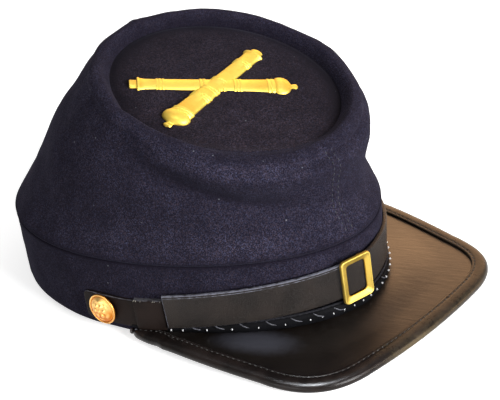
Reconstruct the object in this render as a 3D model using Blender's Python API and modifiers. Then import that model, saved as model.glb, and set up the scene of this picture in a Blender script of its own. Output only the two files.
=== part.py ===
"""A kepi: a soft wool cap whose crown leans forward to a round, sunken top, with a
leather visor, a leather chin strap with a brass buckle and side buttons, and a badge.

The cap's own frame has its origin in the middle of the band's lower edge, with -Y to
the front, +X to the wearer's left and +Z up the band. Angles round the cap are
measured from the front towards the wearer's left. One empty, the stand, tilts and
lifts the cap so that it rests on the back of its band and the front of its visor.
Sizes are in millimetres and angles in degrees; meshes are made in metres.
"""
import bpy
import bmesh
import numpy as np
from math import atan2, cos, degrees, pi, radians, sin
from mathutils import Matrix, Vector

MM = 0.001
GAP = 0.3                     # left between pieces that touch
CLOTH = 2.2                   # wool cloth with its facing
STRAP_THICK = 1.8

# The band: an egg-shaped oval, measured on its outer face.
BAND_HALF_WIDTH = 83.6
BAND_HALF_LENGTH = 107.7
OVAL_POWER = 1.95             # 2 is an ellipse
OVAL_EGG = 0.137              # how much narrower the front is, and wider the back
BAND_HEIGHT = 35.1            # at the middle of its length
SEAM_RISE = 0.0163            # how fast the seam rises towards the back
STATIONS = 64                 # sections round the cap

# The top: an ellipse sunk inside a rolled rim, leaning down towards the front.
TOP_CENTRE = (0.0, -33.8, 97.8)
TOP_TILT = 18.9
TOP_HALF_WIDTH = 53.6
TOP_HALF_LENGTH = 58.6
RIM_RADIUS = 5.2
RIM_RISE = 4.2                # the rim's crest over the top
LIP_DEPTH = 2.6               # the rim's edge turned down beside the top

# The crown's wall: how far the cloth stands off a straight line from seam to rim.
SEAM_TURN = 1.5               # upright cloth right over the seam
WALL = (
    # up the wall, at the front, at the sides, at the back
    (0.00, 0.0, 0.0, 0.0),
    (0.07, -1.3, -1.1, -0.2),
    (0.16, -3.1, -1.6, 0.4),
    (0.27, -4.4, -1.8, 1.4),
    (0.40, -4.3, -1.1, 2.9),
    (0.54, -3.0, 0.3, 4.7),
    (0.68, -0.6, 1.3, 3.5),
    (0.80, 1.7, 1.6, 1.8),
    (0.91, 2.4, 1.1, 1.2),
    (1.00, 0.0, 0.0, 0.0),
)
RIM_STEPS = 6

# The visor: its outline in plan, right half, and how its top face falls.
VISOR_THICK = 2.2
VISOR_UNDER = 1.8             # how far its inner edge reaches under the band
VISOR_DROP = 1.0              # its top face under the band's lower edge
VISOR_LEVEL_SHARE = 0.6       # level at the band, its own form from this share of its depth
VISOR_END = 75.5              # angle where it leaves the band
VISOR_SIDE = (83.6, -34.4)
VISOR_CORNER = (71.8, -136.4)
VISOR_FRONT = -145.0
CORNER_SETBACK = 30.3
SIDE_BOW = 1.7                # how far the sides bulge
SIDE_TURN = (1.5, 12.0)       # the sides leave the band's end in a curve between these
VISOR_RISE = 1.6              # it first rises, away from the band
VISOR_RISE_RUN = 25.0
VISOR_FALL = 0.042            # straight fall from VISOR_SIDE forwards
VISOR_FALL_CURVE = 3.68       # further fall, per (100 mm) squared forwards
VISOR_CAMBER = 2.83           # fall from the middle to the sides, per (100 mm) squared
VISOR_COLUMNS = 34
VISOR_ROWS = 5

# The binding: rolled leather folded over the visor's edge.
BINDING_WIDTH = 7.8
BINDING_END_WIDTH = 3.0
BINDING_END_OUT = 3.7         # the end's outer edge, out from the band
BINDING_WIDEN = 14.0          # along the edge, from its end width to its full width
BINDING_EDGE = 1.9            # the visor's edge inside it
BINDING = (
    # inwards from its outer edge as a share of its width, half height
    (1.00, 2.15),
    (0.76, 2.40),
    (0.42, 2.50),
    (0.15, 2.00),
    (0.03, 1.00),
    (0.00, 0.00),
)
SLOT_HALF = 1.4               # half of the slot that the visor's edge lies in
SLOT_END = 1.5
BINDING_END_SCALE = 0.85      # how flat the roll gets at its ends

# The chin strap: an inner piece from the right button to the buckle, and an outer
# piece from the left button through the buckle and back over the inner one.
STRAP_SIDE_HEIGHT = 7.9       # its middle line over the band's edge, at the sides
STRAP_FRONT_RISE = 8.6        # how much higher it is at the front
INNER_WIDTH = 15.0
INNER_HEIGHT = 9.2            # the inner piece's middle line, up to the keeper
INNER_MEETS = (-66.0, -48.0)  # it joins the outer piece's line between these
OUTER_WIDTH = 17.4
STRAP_END = 90.0
STRAP_END_ROUND = 5.5
STRAP_EDGE = 0.4              # softened edges
ROUND_STATIONS = (0.5, 1.4)   # degrees from a rounded end, for its curve
BUTTON_ANGLE = 82.8           # either side of the front
BUTTON_HOLE = 2.6             # radius
INNER_END = -6.2
OUTER_END = -64.9
EASE_FROM = -4.0              # the outer piece comes down onto the band between these
EASE_TO = 16.0
STRAP_STEP = 2.8              # degrees between sections

KEEPER_FROM = -73.2
KEEPER_TO = -66.0
KEEPER_THICK = 0.8
KEEPER_EDGE = (0.7, 0.4)      # its outer corners cut off: across, and through

BUCKLE_ANGLE = -6.8
BUCKLE_WIDTH = 18.2
BUCKLE_HEIGHT = 22.6
BUCKLE_BAR = 3.8
BUCKLE_THICK = 1.7
BUCKLE_CORNER = 1.7
BUCKLE_WINDOW_CORNER = 0.9
BUCKLE_EDGE = 0.45            # softened edges
BUCKLE_ARM_INSET = 0.4        # the arms and the bar behind, in from its ends
BUCKLE_ARM_GAP = 0.4          # from an arm to the strap's edge
BUCKLE_LOW = 0.5              # its middle under the strap's
BACK_BAR = (4.6, 2.2, 1.0)    # off the middle, width, thickness of the bar behind

BUTTON = (
    # radius, height over the strap
    (0.0, 4.4),
    (2.6, 4.2),
    (4.9, 3.6),
    (6.5, 2.6),
    (7.1, 1.9),
    (7.5, 2.1),
    (8.0, 1.5),
    (7.8, 0.6),
    (7.0, 0.0),
    (2.1, 0.0),
    (2.1, -1.7),
    (0.0, -1.7),
)

# The badge: two crossed cannon barrels in half relief, one over the other.
BADGE_CENTRE = (-8.3, 0.8)    # their crossing on the top: to the left, to the back
BARREL = (
    # along the barrel from its muzzle, radius
    (0.0, 0.0),
    (0.0, 3.9),
    (2.6, 3.9),
    (3.0, 5.0),
    (4.4, 5.9),
    (6.2, 5.6),
    (8.4, 4.7),
    (13.6, 4.7),
    (14.0, 5.3),
    (16.0, 5.3),
    (16.4, 4.8),
    (50.2, 5.3),
    (50.6, 5.9),
    (53.0, 5.9),
    (53.4, 5.4),
    (66.6, 5.8),
    (67.0, 6.5),
    (69.0, 6.5),
    (69.4, 6.0),
    (71.2, 7.5),
    (74.6, 7.2),
    (77.2, 4.6),
    (78.4, 1.8),
    (79.8, 2.3),
    (81.8, 0.0),
)
UNDER_BARREL = (-40.7, 38.6, 0.0)   # its direction, its crossing, its lift
OVER_BARREL = (193.7, 41.0, 1.3)
BARREL_FLAT = 0.6             # relief height as a share of a full round

CENTRE_Y = -18.0              # the middle of the whole length, in the cap's frame


# --- forms -----------------------------------------------------------------------


def oval(angle, out=0.0):
    """The band's outline at an angle, moved outwards: x and y."""

    def on(phi):
        c, s = cos(phi), sin(phi)
        x = abs(s) ** (2 / OVAL_POWER) * BAND_HALF_WIDTH * (1 - OVAL_EGG * c)
        y = abs(c) ** (2 / OVAL_POWER) * BAND_HALF_LENGTH
        return np.array([np.copysign(x, s), -np.copysign(y, c)])

    phi = radians(angle)
    along = on(phi + 0.001) - on(phi - 0.001)
    along /= np.linalg.norm(along)
    return on(phi) + out * np.array([along[1], -along[0]])


def outward(angle):
    """The band's outward direction at an angle, as a unit vector."""
    return Vector((*(oval(angle, 1.0) - oval(angle)), 0.0)).normalized()


def smooth(t):
    """0 up to t = 0, 1 from t = 1, and a smooth step between."""
    t = min(max(t, 0.0), 1.0)
    return t * t * (3 - 2 * t)


def seam_height(y):
    """The top of the band over its lower edge, at a place along the cap."""
    return BAND_HEIGHT + SEAM_RISE * y


def top_axes():
    """The top's axes: to the left, to the back along its slope, and out of it."""
    tilt = radians(TOP_TILT)
    return (
        np.array([1.0, 0.0, 0.0]),
        np.array([0.0, cos(tilt), sin(tilt)]),
        np.array([0.0, -sin(tilt), cos(tilt)]),
    )


def rim_at(angle):
    """The crease round the top at an angle, and the direction out of it."""
    left, back, _ = top_axes()
    c, s = cos(radians(angle)), sin(radians(angle))
    crease = np.array(TOP_CENTRE) + s * TOP_HALF_WIDTH * left - c * TOP_HALF_LENGTH * back
    out = s * TOP_HALF_LENGTH * left - c * TOP_HALF_WIDTH * back
    return crease, out / np.linalg.norm(out)


def crown_section(angle):
    """The crown's outer face at an angle, from the seam over the rim to its lip."""
    normal = top_axes()[2]
    crease, out = rim_at(angle)
    roll = crease + out * RIM_RADIUS + normal * (RIM_RISE - RIM_RADIUS)
    x, y = oval(angle)
    foot = np.array([x, y, seam_height(y) + GAP])
    low = foot + [0, 0, SEAM_TURN]
    high = roll + out * RIM_RADIUS
    line = high - low
    c, s = cos(radians(angle)), sin(radians(angle))
    away = np.array([s, -c, 0.0])
    away -= line * (away @ line) / (line @ line)
    away /= np.linalg.norm(away)
    points = [foot]
    for share, front, side, back in WALL:
        proud = side + (front - back) / 2 * c + ((front + back) / 2 - side) * c * c
        points.append(low + line * share + away * proud)
    for step in range(1, RIM_STEPS + 1):
        turn = pi * step / RIM_STEPS
        points.append(roll + (out * cos(turn) + normal * sin(turn)) * RIM_RADIUS)
    points.append(points[-1] - normal * LIP_DEPTH)
    return points


def visor_height(x, y):
    """The visor's top face at a place in plan."""
    forward = VISOR_SIDE[1] - y
    fall = VISOR_FALL * forward + VISOR_FALL_CURVE * (forward / 100) ** 2
    camber = VISOR_CAMBER * ((x / 100) ** 2 - (VISOR_SIDE[0] / 100) ** 2)
    rise = VISOR_RISE * smooth(forward / VISOR_RISE_RUN)
    return rise - VISOR_DROP - max(fall + camber, 0.0)


def bezier(start, control, end, steps):
    """Points of a quadratic curve, without its first one."""
    share = [(i + 1) / steps for i in range(steps)]
    return [(1 - t) ** 2 * start + 2 * t * (1 - t) * control + t * t * end for t in share]


def front_line(x):
    """The visor's front edge: y at a place x."""
    return VISOR_FRONT + (VISOR_CORNER[1] - VISOR_FRONT) * (x / VISOR_CORNER[0]) ** 2


def visor_half_outline():
    """The visor's outer edge in plan, from the band on the left to the middle."""
    side, corner = np.array(VISOR_SIDE), np.array(VISOR_CORNER)
    along = (corner - side) / np.linalg.norm(corner - side)
    bow = np.array([-along[1], along[0]])
    length = np.linalg.norm(corner - side) - CORNER_SETBACK
    turn_from, turn_to = SIDE_TURN
    points = [oval(VISOR_END, BINDING_END_OUT)]
    points += bezier(points[0], side + along * turn_from, side + along * turn_to, 4)
    for step in range(1, 7):
        share = (turn_to + (length - turn_to) * step / 6) / length
        points.append(side + along * length * share + bow * 4 * SIDE_BOW * share * (1 - share))
    x_end = VISOR_CORNER[0] - CORNER_SETBACK
    end = np.array([x_end, front_line(x_end)])
    slope = 2 * (VISOR_CORNER[1] - VISOR_FRONT) * x_end / VISOR_CORNER[0] ** 2
    run = (end[1] - points[-1][1] - slope * (end[0] - points[-1][0])) / (along[1] - slope * along[0])
    control = points[-1] + along * run
    points += bezier(points[-1], control, end, 9)
    for step in range(1, 6):
        x = x_end * (1 - step / 5)
        points.append(np.array([x, front_line(x)]))
    return points


def visor_outline():
    """The visor's whole outer edge in plan, with the direction inwards at each point."""
    half = visor_half_outline()
    line = half + [p * [-1, 1] for p in reversed(half[:-1])]
    inwards = []
    for i in range(len(line)):
        along = line[min(i + 1, len(line) - 1)] - line[max(i - 1, 0)]
        along /= np.linalg.norm(along)
        inwards.append(np.array([along[1], -along[0]]))
    return line, inwards


def strap_height(angle):
    """The outer strap's middle line over the band's lower edge."""
    return STRAP_SIDE_HEIGHT + STRAP_FRONT_RISE * max(cos(radians(angle)), 0.0)


def inner_strap_height(angle):
    """The inner strap's middle line: level to the keeper, then under the outer strap."""
    start, end = INNER_MEETS
    share = smooth((angle - start) / (end - start))
    return INNER_HEIGHT * (1 - share) + strap_height(angle) * share


def inner_strap_out(_):
    """The inner strap's back face, out from the band, the same all along."""
    return GAP


# Each button's angle, and the strap that it fastens.
BUTTONS = {
    "right": (-BUTTON_ANGLE, inner_strap_height),
    "left": (BUTTON_ANGLE, strap_height),
}


def outer_strap_out(angle):
    """The outer strap's back face, out from the band."""
    over = GAP * 2 + STRAP_THICK
    down = smooth((angle - EASE_FROM) / (EASE_TO - EASE_FROM))
    return over + (GAP - over) * down


def resting_tilt():
    """How far the cap leans back on a flat surface, in degrees."""
    line, _ = visor_outline()
    depth = VISOR_THICK / 2 + max(half for _, half in BINDING)
    return max(
        degrees(atan2(depth - visor_height(x, y), BAND_HALF_LENGTH - y)) for x, y in line
    )


# --- making meshes ---------------------------------------------------------------


def material(name, colour, roughness, metallic=0.0):
    """A plain Principled finish."""
    mat = bpy.data.materials.new(name)
    mat.use_nodes = True
    shader = mat.node_tree.nodes["Principled BSDF"]
    shader.inputs["Base Color"].default_value = (*colour, 1.0)
    shader.inputs["Roughness"].default_value = roughness
    shader.inputs["Metallic"].default_value = metallic
    mat.diffuse_color = (*colour, 1.0)
    return mat


def add_object(name, mesh, mat, collection, parent):
    """An object for a mesh, in the cap's frame."""
    obj = bpy.data.objects.new(name, mesh)
    if mat:
        mesh.materials.append(mat)
    collection.objects.link(obj)
    obj.parent = parent
    return obj


def sheet_mesh(name, rows, closed=False):
    """An open sheet through rows of points; a closed row returns to its start."""
    bm = bmesh.new()
    made = [[bm.verts.new(Vector(p) * MM) for p in row] for row in rows]
    wide = len(rows[0]) if closed else len(rows[0]) - 1
    for low, high in zip(made, made[1:]):
        for i in range(wide):
            j = (i + 1) % len(low)
            bm.faces.new((low[i], low[j], high[j], high[i]))
    mesh = bpy.data.meshes.new(name)
    bm.to_mesh(mesh)
    bm.free()
    return mesh


def tube_mesh(name, sections):
    """A solid through closed sections of as many points each, capped at its ends."""
    bm = bmesh.new()
    made = [[bm.verts.new(Vector(p) * MM) for p in section] for section in sections]
    for near, far in zip(made, made[1:]):
        for i in range(len(near)):
            j = (i + 1) % len(near)
            bm.faces.new((near[i], near[j], far[j], far[i]))
    bm.faces.new(made[0][::-1])
    bm.faces.new(made[-1])
    bmesh.ops.recalc_face_normals(bm, faces=bm.faces)
    mesh = bpy.data.meshes.new(name)
    bm.to_mesh(mesh)
    bm.free()
    return mesh


def box_mesh(name, size, corner=0.0):
    """A box about the origin, its four edges along Y rounded by corner."""
    bm = bmesh.new()
    bmesh.ops.create_cube(bm, size=1.0)
    bmesh.ops.scale(bm, vec=Vector(size) * MM, verts=bm.verts)
    if corner:
        edges = [e for e in bm.edges if abs(e.verts[0].co.y - e.verts[1].co.y) > MM / 10]
        bmesh.ops.bevel(bm, geom=edges, offset=corner * MM, segments=3, profile=0.5, affect="EDGES")
    mesh = bpy.data.meshes.new(name)
    bm.to_mesh(mesh)
    bm.free()
    return mesh


def turned_mesh(name, profile, steps):
    """A solid turned about Z from radius and height pairs that start and end on it."""
    line = bpy.data.meshes.new(name + "_profile")
    points = [(r * MM, 0.0, z * MM) for r, z in profile]
    line.from_pydata(points, [(i, i + 1) for i in range(len(points) - 1)], [])
    obj = bpy.data.objects.new(name + "_profile", line)
    bpy.context.scene.collection.objects.link(obj)
    screw = obj.modifiers.new("turn", "SCREW")
    screw.steps = screw.render_steps = steps
    screw.use_merge_vertices = True
    screw.merge_threshold = 0.00001
    screw.use_normal_calculate = True
    evaluated = obj.evaluated_get(bpy.context.evaluated_depsgraph_get())
    mesh = bpy.data.meshes.new_from_object(evaluated)
    mesh.name = name
    bpy.data.objects.remove(obj)
    bm = bmesh.new()
    bm.from_mesh(mesh)
    bmesh.ops.recalc_face_normals(bm, faces=bm.faces)
    bm.to_mesh(mesh)
    bm.free()
    return mesh


def solidify(obj, thickness):
    """Gives an open sheet its thickness, behind its face."""
    mod = obj.modifiers.new("thickness", "SOLIDIFY")
    mod.thickness = thickness * MM
    mod.offset = -1.0
    mod.use_even_offset = True
    mod.use_quality_normals = True


def soften(obj, width, segments=1):
    """Rounds an object's sharp edges."""
    mod = obj.modifiers.new("soft edges", "BEVEL")
    mod.width = width * MM
    mod.segments = segments
    mod.limit_method = "ANGLE"
    mod.angle_limit = radians(50)


def boolean(obj, other, operation):
    """Cuts or joins another object to one."""
    mod = obj.modifiers.new(other.name, "BOOLEAN")
    mod.operation = operation
    mod.solver = "EXACT"
    mod.object = other


def helper(name, mesh, collection, parent):
    """An object that only cuts or joins others."""
    obj = add_object(name, mesh, None, collection, parent)
    obj.hide_render = True
    obj.display_type = "WIRE"
    return obj


def shade(obj, angle=35):
    """Smooth shading with crisp edges over an angle."""
    obj.data.shade_smooth()
    obj.data.set_sharp_from_angle(angle=radians(angle))


# --- the pieces ------------------------------------------------------------------


def make_crown(cloth, collection, stand):
    """The crown's wall and rolled rim: one sheet of cloth, open below and above."""
    sections = [crown_section(360 * i / STATIONS) for i in range(STATIONS)]
    rows = list(zip(*sections))
    obj = add_object("crown", sheet_mesh("crown", rows, closed=True), cloth, collection, stand)
    shade(obj, 60)
    solidify(obj, CLOTH)
    return obj


def make_top(cloth, collection, stand):
    """The flat top inside the rim."""
    left, back, normal = top_axes()
    bm = bmesh.new()
    bmesh.ops.create_cone(
        bm, cap_ends=True, segments=STATIONS, radius1=1.0, radius2=1.0, depth=CLOTH * MM
    )
    size = ((TOP_HALF_WIDTH - GAP) * MM, (TOP_HALF_LENGTH - GAP) * MM, 1.0)
    bmesh.ops.scale(bm, vec=size, verts=bm.verts)
    mesh = bpy.data.meshes.new("crown_top")
    bm.to_mesh(mesh)
    bm.free()
    obj = add_object("crown_top", mesh, cloth, collection, stand)
    obj.location = Vector(np.array(TOP_CENTRE) - normal * CLOTH / 2) * MM
    obj.rotation_euler = (radians(TOP_TILT), 0, 0)
    return obj


def make_band(cloth, collection, stand):
    """The upright band below the seam."""
    angles = [360 * i / STATIONS for i in range(STATIONS)]
    low = [(*oval(a), 0.0) for a in angles]
    high = [(*oval(a), seam_height(oval(a)[1])) for a in angles]
    obj = add_object("band", sheet_mesh("band", [low, high], closed=True), cloth, collection, stand)
    shade(obj)
    solidify(obj, CLOTH)
    return obj


def make_visor(leather, collection, stand):
    """The visor: a sheet from under the band's front edge out into the binding."""
    line, inwards = visor_outline()
    edge = [p + n * BINDING_EDGE for p, n in zip(line, inwards)]
    length = np.concatenate([[0], np.cumsum(np.linalg.norm(np.diff(edge, axis=0), axis=1))])
    rows = []
    for row in range(VISOR_ROWS + 1):
        share = row / VISOR_ROWS
        points = []
        for column in range(VISOR_COLUMNS + 1):
            across = column / VISOR_COLUMNS
            at = across * length[-1]
            far = np.array([np.interp(at, length, [p[k] for p in edge]) for k in range(2)])
            near = oval(VISOR_END * (1 - 2 * across), -VISOR_UNDER)
            x, y = near + (far - near) * share
            level = smooth(share / VISOR_LEVEL_SHARE)
            points.append((x, y, visor_height(x, y) * level - VISOR_DROP * (1 - level)))
        rows.append(points)
    obj = add_object("visor", sheet_mesh("visor", rows), leather, collection, stand)
    shade(obj)
    solidify(obj, VISOR_THICK)
    return obj


def make_binding(leather, collection, stand):
    """The rolled edge: a slotted section carried round the visor's outline."""
    line, inwards = visor_outline()
    length = np.concatenate([[0], np.cumsum(np.linalg.norm(np.diff(line, axis=0), axis=1))])
    sections = []
    for (x, y), inward, at in zip(line, inwards, length):
        open_share = smooth(min(at, length[-1] - at) / BINDING_WIDEN)
        width = BINDING_END_WIDTH + (BINDING_WIDTH - BINDING_END_WIDTH) * open_share
        tall = BINDING_END_SCALE + (1 - BINDING_END_SCALE) * open_share
        loop = [(share * width, half * tall) for share, half in BINDING]
        loop += [(share * width, -half * tall) for share, half in reversed(BINDING[:-1])]
        loop += [(width, -SLOT_HALF), (SLOT_END, -SLOT_HALF), (SLOT_END, SLOT_HALF), (width, SLOT_HALF)]
        middle = visor_height(x, y) - VISOR_THICK / 2
        drop = visor_height(*(np.array([x, y]) + inward * width)) - visor_height(x, y)
        sections.append([
            (x + inward[0] * d, y + inward[1] * d, middle + drop * d / width + h)
            for d, h in loop
        ])
    mesh = tube_mesh("visor_binding", sections)
    obj = add_object("visor_binding", mesh, leather, collection, stand)
    shade(obj, 50)
    return obj


def strap_rows(start, end, width, height, out, round_start, round_end):
    """A strap's outer face between two angles: its lower and upper edge lines."""
    turn = 1 if end > start else -1
    steps = max(2, round(abs(end - start) / STRAP_STEP))
    angles = [start + (end - start) * i / steps for i in range(steps + 1)]
    ends = [(start, turn, round_start), (end, -turn, round_end)]
    for at, way, rounded in ends:
        angles += [at + way * share for share in ROUND_STATIONS] if rounded else []
    per_degree = np.linalg.norm(oval(start + turn) - oval(start))
    low, high = [], []
    for angle in sorted(angles):
        half = width / 2
        for at, _, rounded in ends:
            from_end = abs(angle - at) * per_degree
            if rounded and from_end < STRAP_END_ROUND:
                half -= STRAP_END_ROUND * (1 - (1 - (1 - from_end / STRAP_END_ROUND) ** 2) ** 0.5)
        x, y = oval(angle, out(angle) + STRAP_THICK)
        middle = height(angle)
        low.append((x, y, middle - half))
        high.append((x, y, middle + half))
    return [low, high]


def make_strap(name, rows, leather, collection, stand, hole):
    """One piece of the chin strap, with its buttonhole."""
    obj = add_object(name, sheet_mesh(name, rows), leather, collection, stand)
    shade(obj)
    solidify(obj, STRAP_THICK)
    soften(obj, STRAP_EDGE)
    boolean(obj, hole, "DIFFERENCE")
    return obj


def make_holes(collection, stand):
    """Cutters for the two buttonholes, by side."""
    holes = {}
    for side, (angle, height) in BUTTONS.items():
        bm = bmesh.new()
        bmesh.ops.create_cone(
            bm, cap_ends=True, segments=12, radius1=BUTTON_HOLE * MM, radius2=BUTTON_HOLE * MM,
            depth=12 * MM,
        )
        mesh = bpy.data.meshes.new("hole")
        bm.to_mesh(mesh)
        bm.free()
        hole = helper("hole_" + side, mesh, collection, stand)
        hole.location = Vector((*oval(angle, STRAP_THICK), height(angle))) * MM
        hole.rotation_euler = outward(angle).to_track_quat("Z", "Y").to_euler()
        holes[side] = hole
    return holes


def make_keeper(leather, collection, stand):
    """The loop over the strap's inner piece, open at the band."""
    inner_half = INNER_WIDTH / 2 + GAP
    outer_half = inner_half + KEEPER_THICK
    near, far = GAP, GAP * 3 + STRAP_THICK
    face = far + KEEPER_THICK
    across, through = KEEPER_EDGE
    loop = [
        (face, outer_half - across),
        (face - through, outer_half),
        (near, outer_half),
        (near, inner_half),
        (far, inner_half),
    ]
    loop += [(out, -half) for out, half in reversed(loop)]
    rows = []
    for step in range(4):
        angle = KEEPER_FROM + (KEEPER_TO - KEEPER_FROM) * step / 3
        middle = inner_strap_height(angle)
        rows.append([(*oval(angle, out), middle + half) for out, half in loop])
    obj = add_object("strap_keeper", tube_mesh("strap_keeper", rows), leather, collection, stand)
    shade(obj)
    return obj


def make_buckle(brass, collection, helpers, stand):
    """A flat frame with rounded corners and a bar behind the strap that holds it."""
    facing = outward(BUCKLE_ANGLE)
    back = outer_strap_out(BUCKLE_ANGLE) + STRAP_THICK + GAP
    obj = add_object(
        "buckle", box_mesh("buckle", (BUCKLE_WIDTH, BUCKLE_THICK, BUCKLE_HEIGHT), BUCKLE_CORNER),
        brass, collection, stand,
    )
    middle = strap_height(BUCKLE_ANGLE) - BUCKLE_LOW
    place = oval(BUCKLE_ANGLE, back + BUCKLE_THICK / 2)
    obj.location = Vector((*place, middle)) * MM
    obj.rotation_euler = (0, 0, atan2(facing.x, -facing.y))
    window = helper(
        "buckle_window",
        box_mesh(
            "buckle_window",
            (BUCKLE_WIDTH - 2 * BUCKLE_BAR, BUCKLE_THICK * 3, BUCKLE_HEIGHT - 2 * BUCKLE_BAR),
            BUCKLE_WINDOW_CORNER,
        ),
        helpers, obj,
    )
    boolean(obj, window, "DIFFERENCE")
    soften(obj, BUCKLE_EDGE)
    off, wide, thick = BACK_BAR
    reach = BUCKLE_THICK / 2 + STRAP_THICK + 3 * GAP + thick
    arm_end = BUCKLE_HEIGHT / 2 - BUCKLE_ARM_INSET
    arm = arm_end - OUTER_WIDTH / 2 - BUCKLE_LOW - BUCKLE_ARM_GAP
    for name, size, at in (
        ("arm_high", (wide, reach, arm), (off, reach / 2, arm_end - arm / 2)),
        ("arm_low", (wide, reach, arm), (off, reach / 2, arm / 2 - arm_end)),
        ("back_bar", (wide, thick, arm_end * 2), (off, reach - thick / 2, 0.0)),
    ):
        piece = helper("buckle_" + name, box_mesh(name, size), helpers, obj)
        piece.location = Vector(at) * MM
        boolean(obj, piece, "UNION")
    shade(obj, 50)
    return obj


def make_button(side, brass, collection, stand):
    """A domed button with a beaded rim and a shank in the strap's buttonhole."""
    angle, height = BUTTONS[side]
    mesh = turned_mesh("button_" + side, BUTTON, steps=20)
    obj = add_object("button_" + side, mesh, brass, collection, stand)
    back = GAP * 2 + STRAP_THICK
    obj.location = Vector((*oval(angle, back), height(angle))) * MM
    obj.rotation_euler = outward(angle).to_track_quat("Z", "Y").to_euler()
    shade(obj, 30)
    return obj


def make_badge(brass, collection, helpers, stand):
    """Two crossed barrels in half relief, joined and cut flat below."""
    _, _, normal = top_axes()
    barrels = []
    for name, (direction, crossing, rise) in (
        ("badge", UNDER_BARREL), ("badge_over", OVER_BARREL)
    ):
        profile = [(radius, along) for along, radius in BARREL]
        mesh = turned_mesh(name, profile, steps=16)
        place = (
            Matrix.Translation((0, 0, rise * MM))
            @ Matrix.Diagonal((1, 1, BARREL_FLAT, 1))
            @ Matrix.Rotation(radians(direction), 4, "Z")
            @ Matrix.Rotation(radians(90), 4, "Y")
            @ Matrix.Translation((0, 0, -crossing * MM))
        )
        mesh.transform(place)
        barrels.append(mesh)
    obj = add_object("badge", barrels[0], brass, collection, stand)
    left, back, _ = top_axes()
    centre = np.array(TOP_CENTRE) + left * BADGE_CENTRE[0] + back * BADGE_CENTRE[1] + normal * GAP
    obj.location = Vector(centre) * MM
    obj.rotation_euler = (radians(TOP_TILT), 0, 0)
    over = helper("badge_over", barrels[1], helpers, obj)
    under = helper("badge_flat", box_mesh("badge_flat", (120, 120, 20)), helpers, obj)
    under.location = (0, 0, -10 * MM)
    boolean(obj, over, "UNION")
    boolean(obj, under, "DIFFERENCE")
    shade(obj, 30)
    return obj


def main():
    for obj in list(bpy.data.objects):
        bpy.data.objects.remove(obj, do_unlink=True)
    kepi = bpy.data.collections.new("kepi")
    helpers = bpy.data.collections.new("cutters")
    for collection in (kepi, helpers):
        bpy.context.scene.collection.children.link(collection)
    tilt = resting_tilt()
    stand = bpy.data.objects.new("stand", None)
    kepi.objects.link(stand)
    stand.rotation_euler = (radians(-tilt), 0, 0)
    stand.location = (0, -CENTRE_Y * MM, BAND_HALF_LENGTH * sin(radians(tilt)) * MM)

    wool = material("dark_blue_wool", (0.018, 0.017, 0.032), 0.95)
    black_leather = material("black_leather", (0.010, 0.009, 0.009), 0.3)
    strap_leather = material("strap_leather", (0.025, 0.023, 0.022), 0.45)
    brass = material("brass", (0.86, 0.62, 0.16), 0.3, 1.0)

    make_crown(wool, kepi, stand)
    make_top(wool, kepi, stand)
    make_band(wool, kepi, stand)
    make_visor(black_leather, kepi, stand)
    make_binding(black_leather, kepi, stand)
    holes = make_holes(helpers, stand)
    inner = strap_rows(
        -STRAP_END, INNER_END, INNER_WIDTH, inner_strap_height, inner_strap_out, True, False
    )
    make_strap("chin_strap_inner", inner, strap_leather, kepi, stand, holes["right"])
    outer = strap_rows(
        OUTER_END, STRAP_END, OUTER_WIDTH, strap_height, outer_strap_out, False, True
    )
    make_strap("chin_strap_outer", outer, strap_leather, kepi, stand, holes["left"])
    make_keeper(strap_leather, kepi, stand)
    make_buckle(brass, kepi, helpers, stand)
    for side in BUTTONS:
        make_button(side, brass, kepi, stand)
    make_badge(brass, kepi, helpers, stand)


main()
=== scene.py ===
"""A soft wool kepi with a leather visor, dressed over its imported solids.

Each sub-assembly is a class that holds its sizes, builds its meshes and dresses them in a
finish. Sizes are in millimetres in the cap's own frame: the origin is in the middle of the
band's lower edge, -Y is the front, +X the wearer's left and +Z up the band. Angles round
the cap are in degrees, from the front towards the wearer's left. CapForm places all of it
in the row's metres, where the cap rests on the back of its band and the front of its visor.
"""
import logging
from collections.abc import Sequence
from dataclasses import dataclass
from enum import Enum

import bmesh
import bpy
import numpy as np
from mathutils import Matrix, Vector
from numpy import (
    arange, array, asarray, broadcast_to, clip, concatenate, cos, cross, degrees, gradient,
    interp, linspace, maximum, minimum, ones, pi, radians, sin, sqrt, stack, zeros,
)


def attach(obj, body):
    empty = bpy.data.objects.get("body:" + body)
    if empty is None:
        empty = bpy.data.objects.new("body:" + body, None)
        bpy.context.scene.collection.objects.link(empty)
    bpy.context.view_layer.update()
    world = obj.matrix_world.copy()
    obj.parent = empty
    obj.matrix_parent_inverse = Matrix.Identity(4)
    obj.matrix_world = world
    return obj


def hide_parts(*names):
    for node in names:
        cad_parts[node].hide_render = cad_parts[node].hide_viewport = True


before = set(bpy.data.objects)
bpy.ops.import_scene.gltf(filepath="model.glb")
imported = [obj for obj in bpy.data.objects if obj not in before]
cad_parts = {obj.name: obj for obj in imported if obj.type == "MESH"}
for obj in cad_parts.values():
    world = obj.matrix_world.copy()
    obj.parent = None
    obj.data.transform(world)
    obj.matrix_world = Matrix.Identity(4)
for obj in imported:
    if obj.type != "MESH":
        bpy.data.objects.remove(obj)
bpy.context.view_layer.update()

MM = 0.001
BODY = "root"
log = logging.getLogger("kepi")

Points = np.ndarray
Pair = tuple[float, float]
Triple = tuple[float, float, float]
Pairs = Sequence[Pair]
Triples = Sequence[Triple]
Colour = Triple
Piece = bpy.types.Object
Material = bpy.types.Material
Tree = bpy.types.NodeTree
Node = bpy.types.Node
Socket = bpy.types.NodeSocket
UP = array([0.0, 0.0, 1.0])


class Slot(Enum):
    """The cap's material slots."""

    WOOL = "dark_blue_wool"
    VISOR = "black_leather"
    STRAP = "strap_leather"
    BRASS = "brass"


class Seen(Enum):
    """How a light is seen by the cap."""

    FULLY = "fully"
    MIRRORED = "only mirrored, in polished leather and brass"
    MATTE = "only on matte faces"


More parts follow.
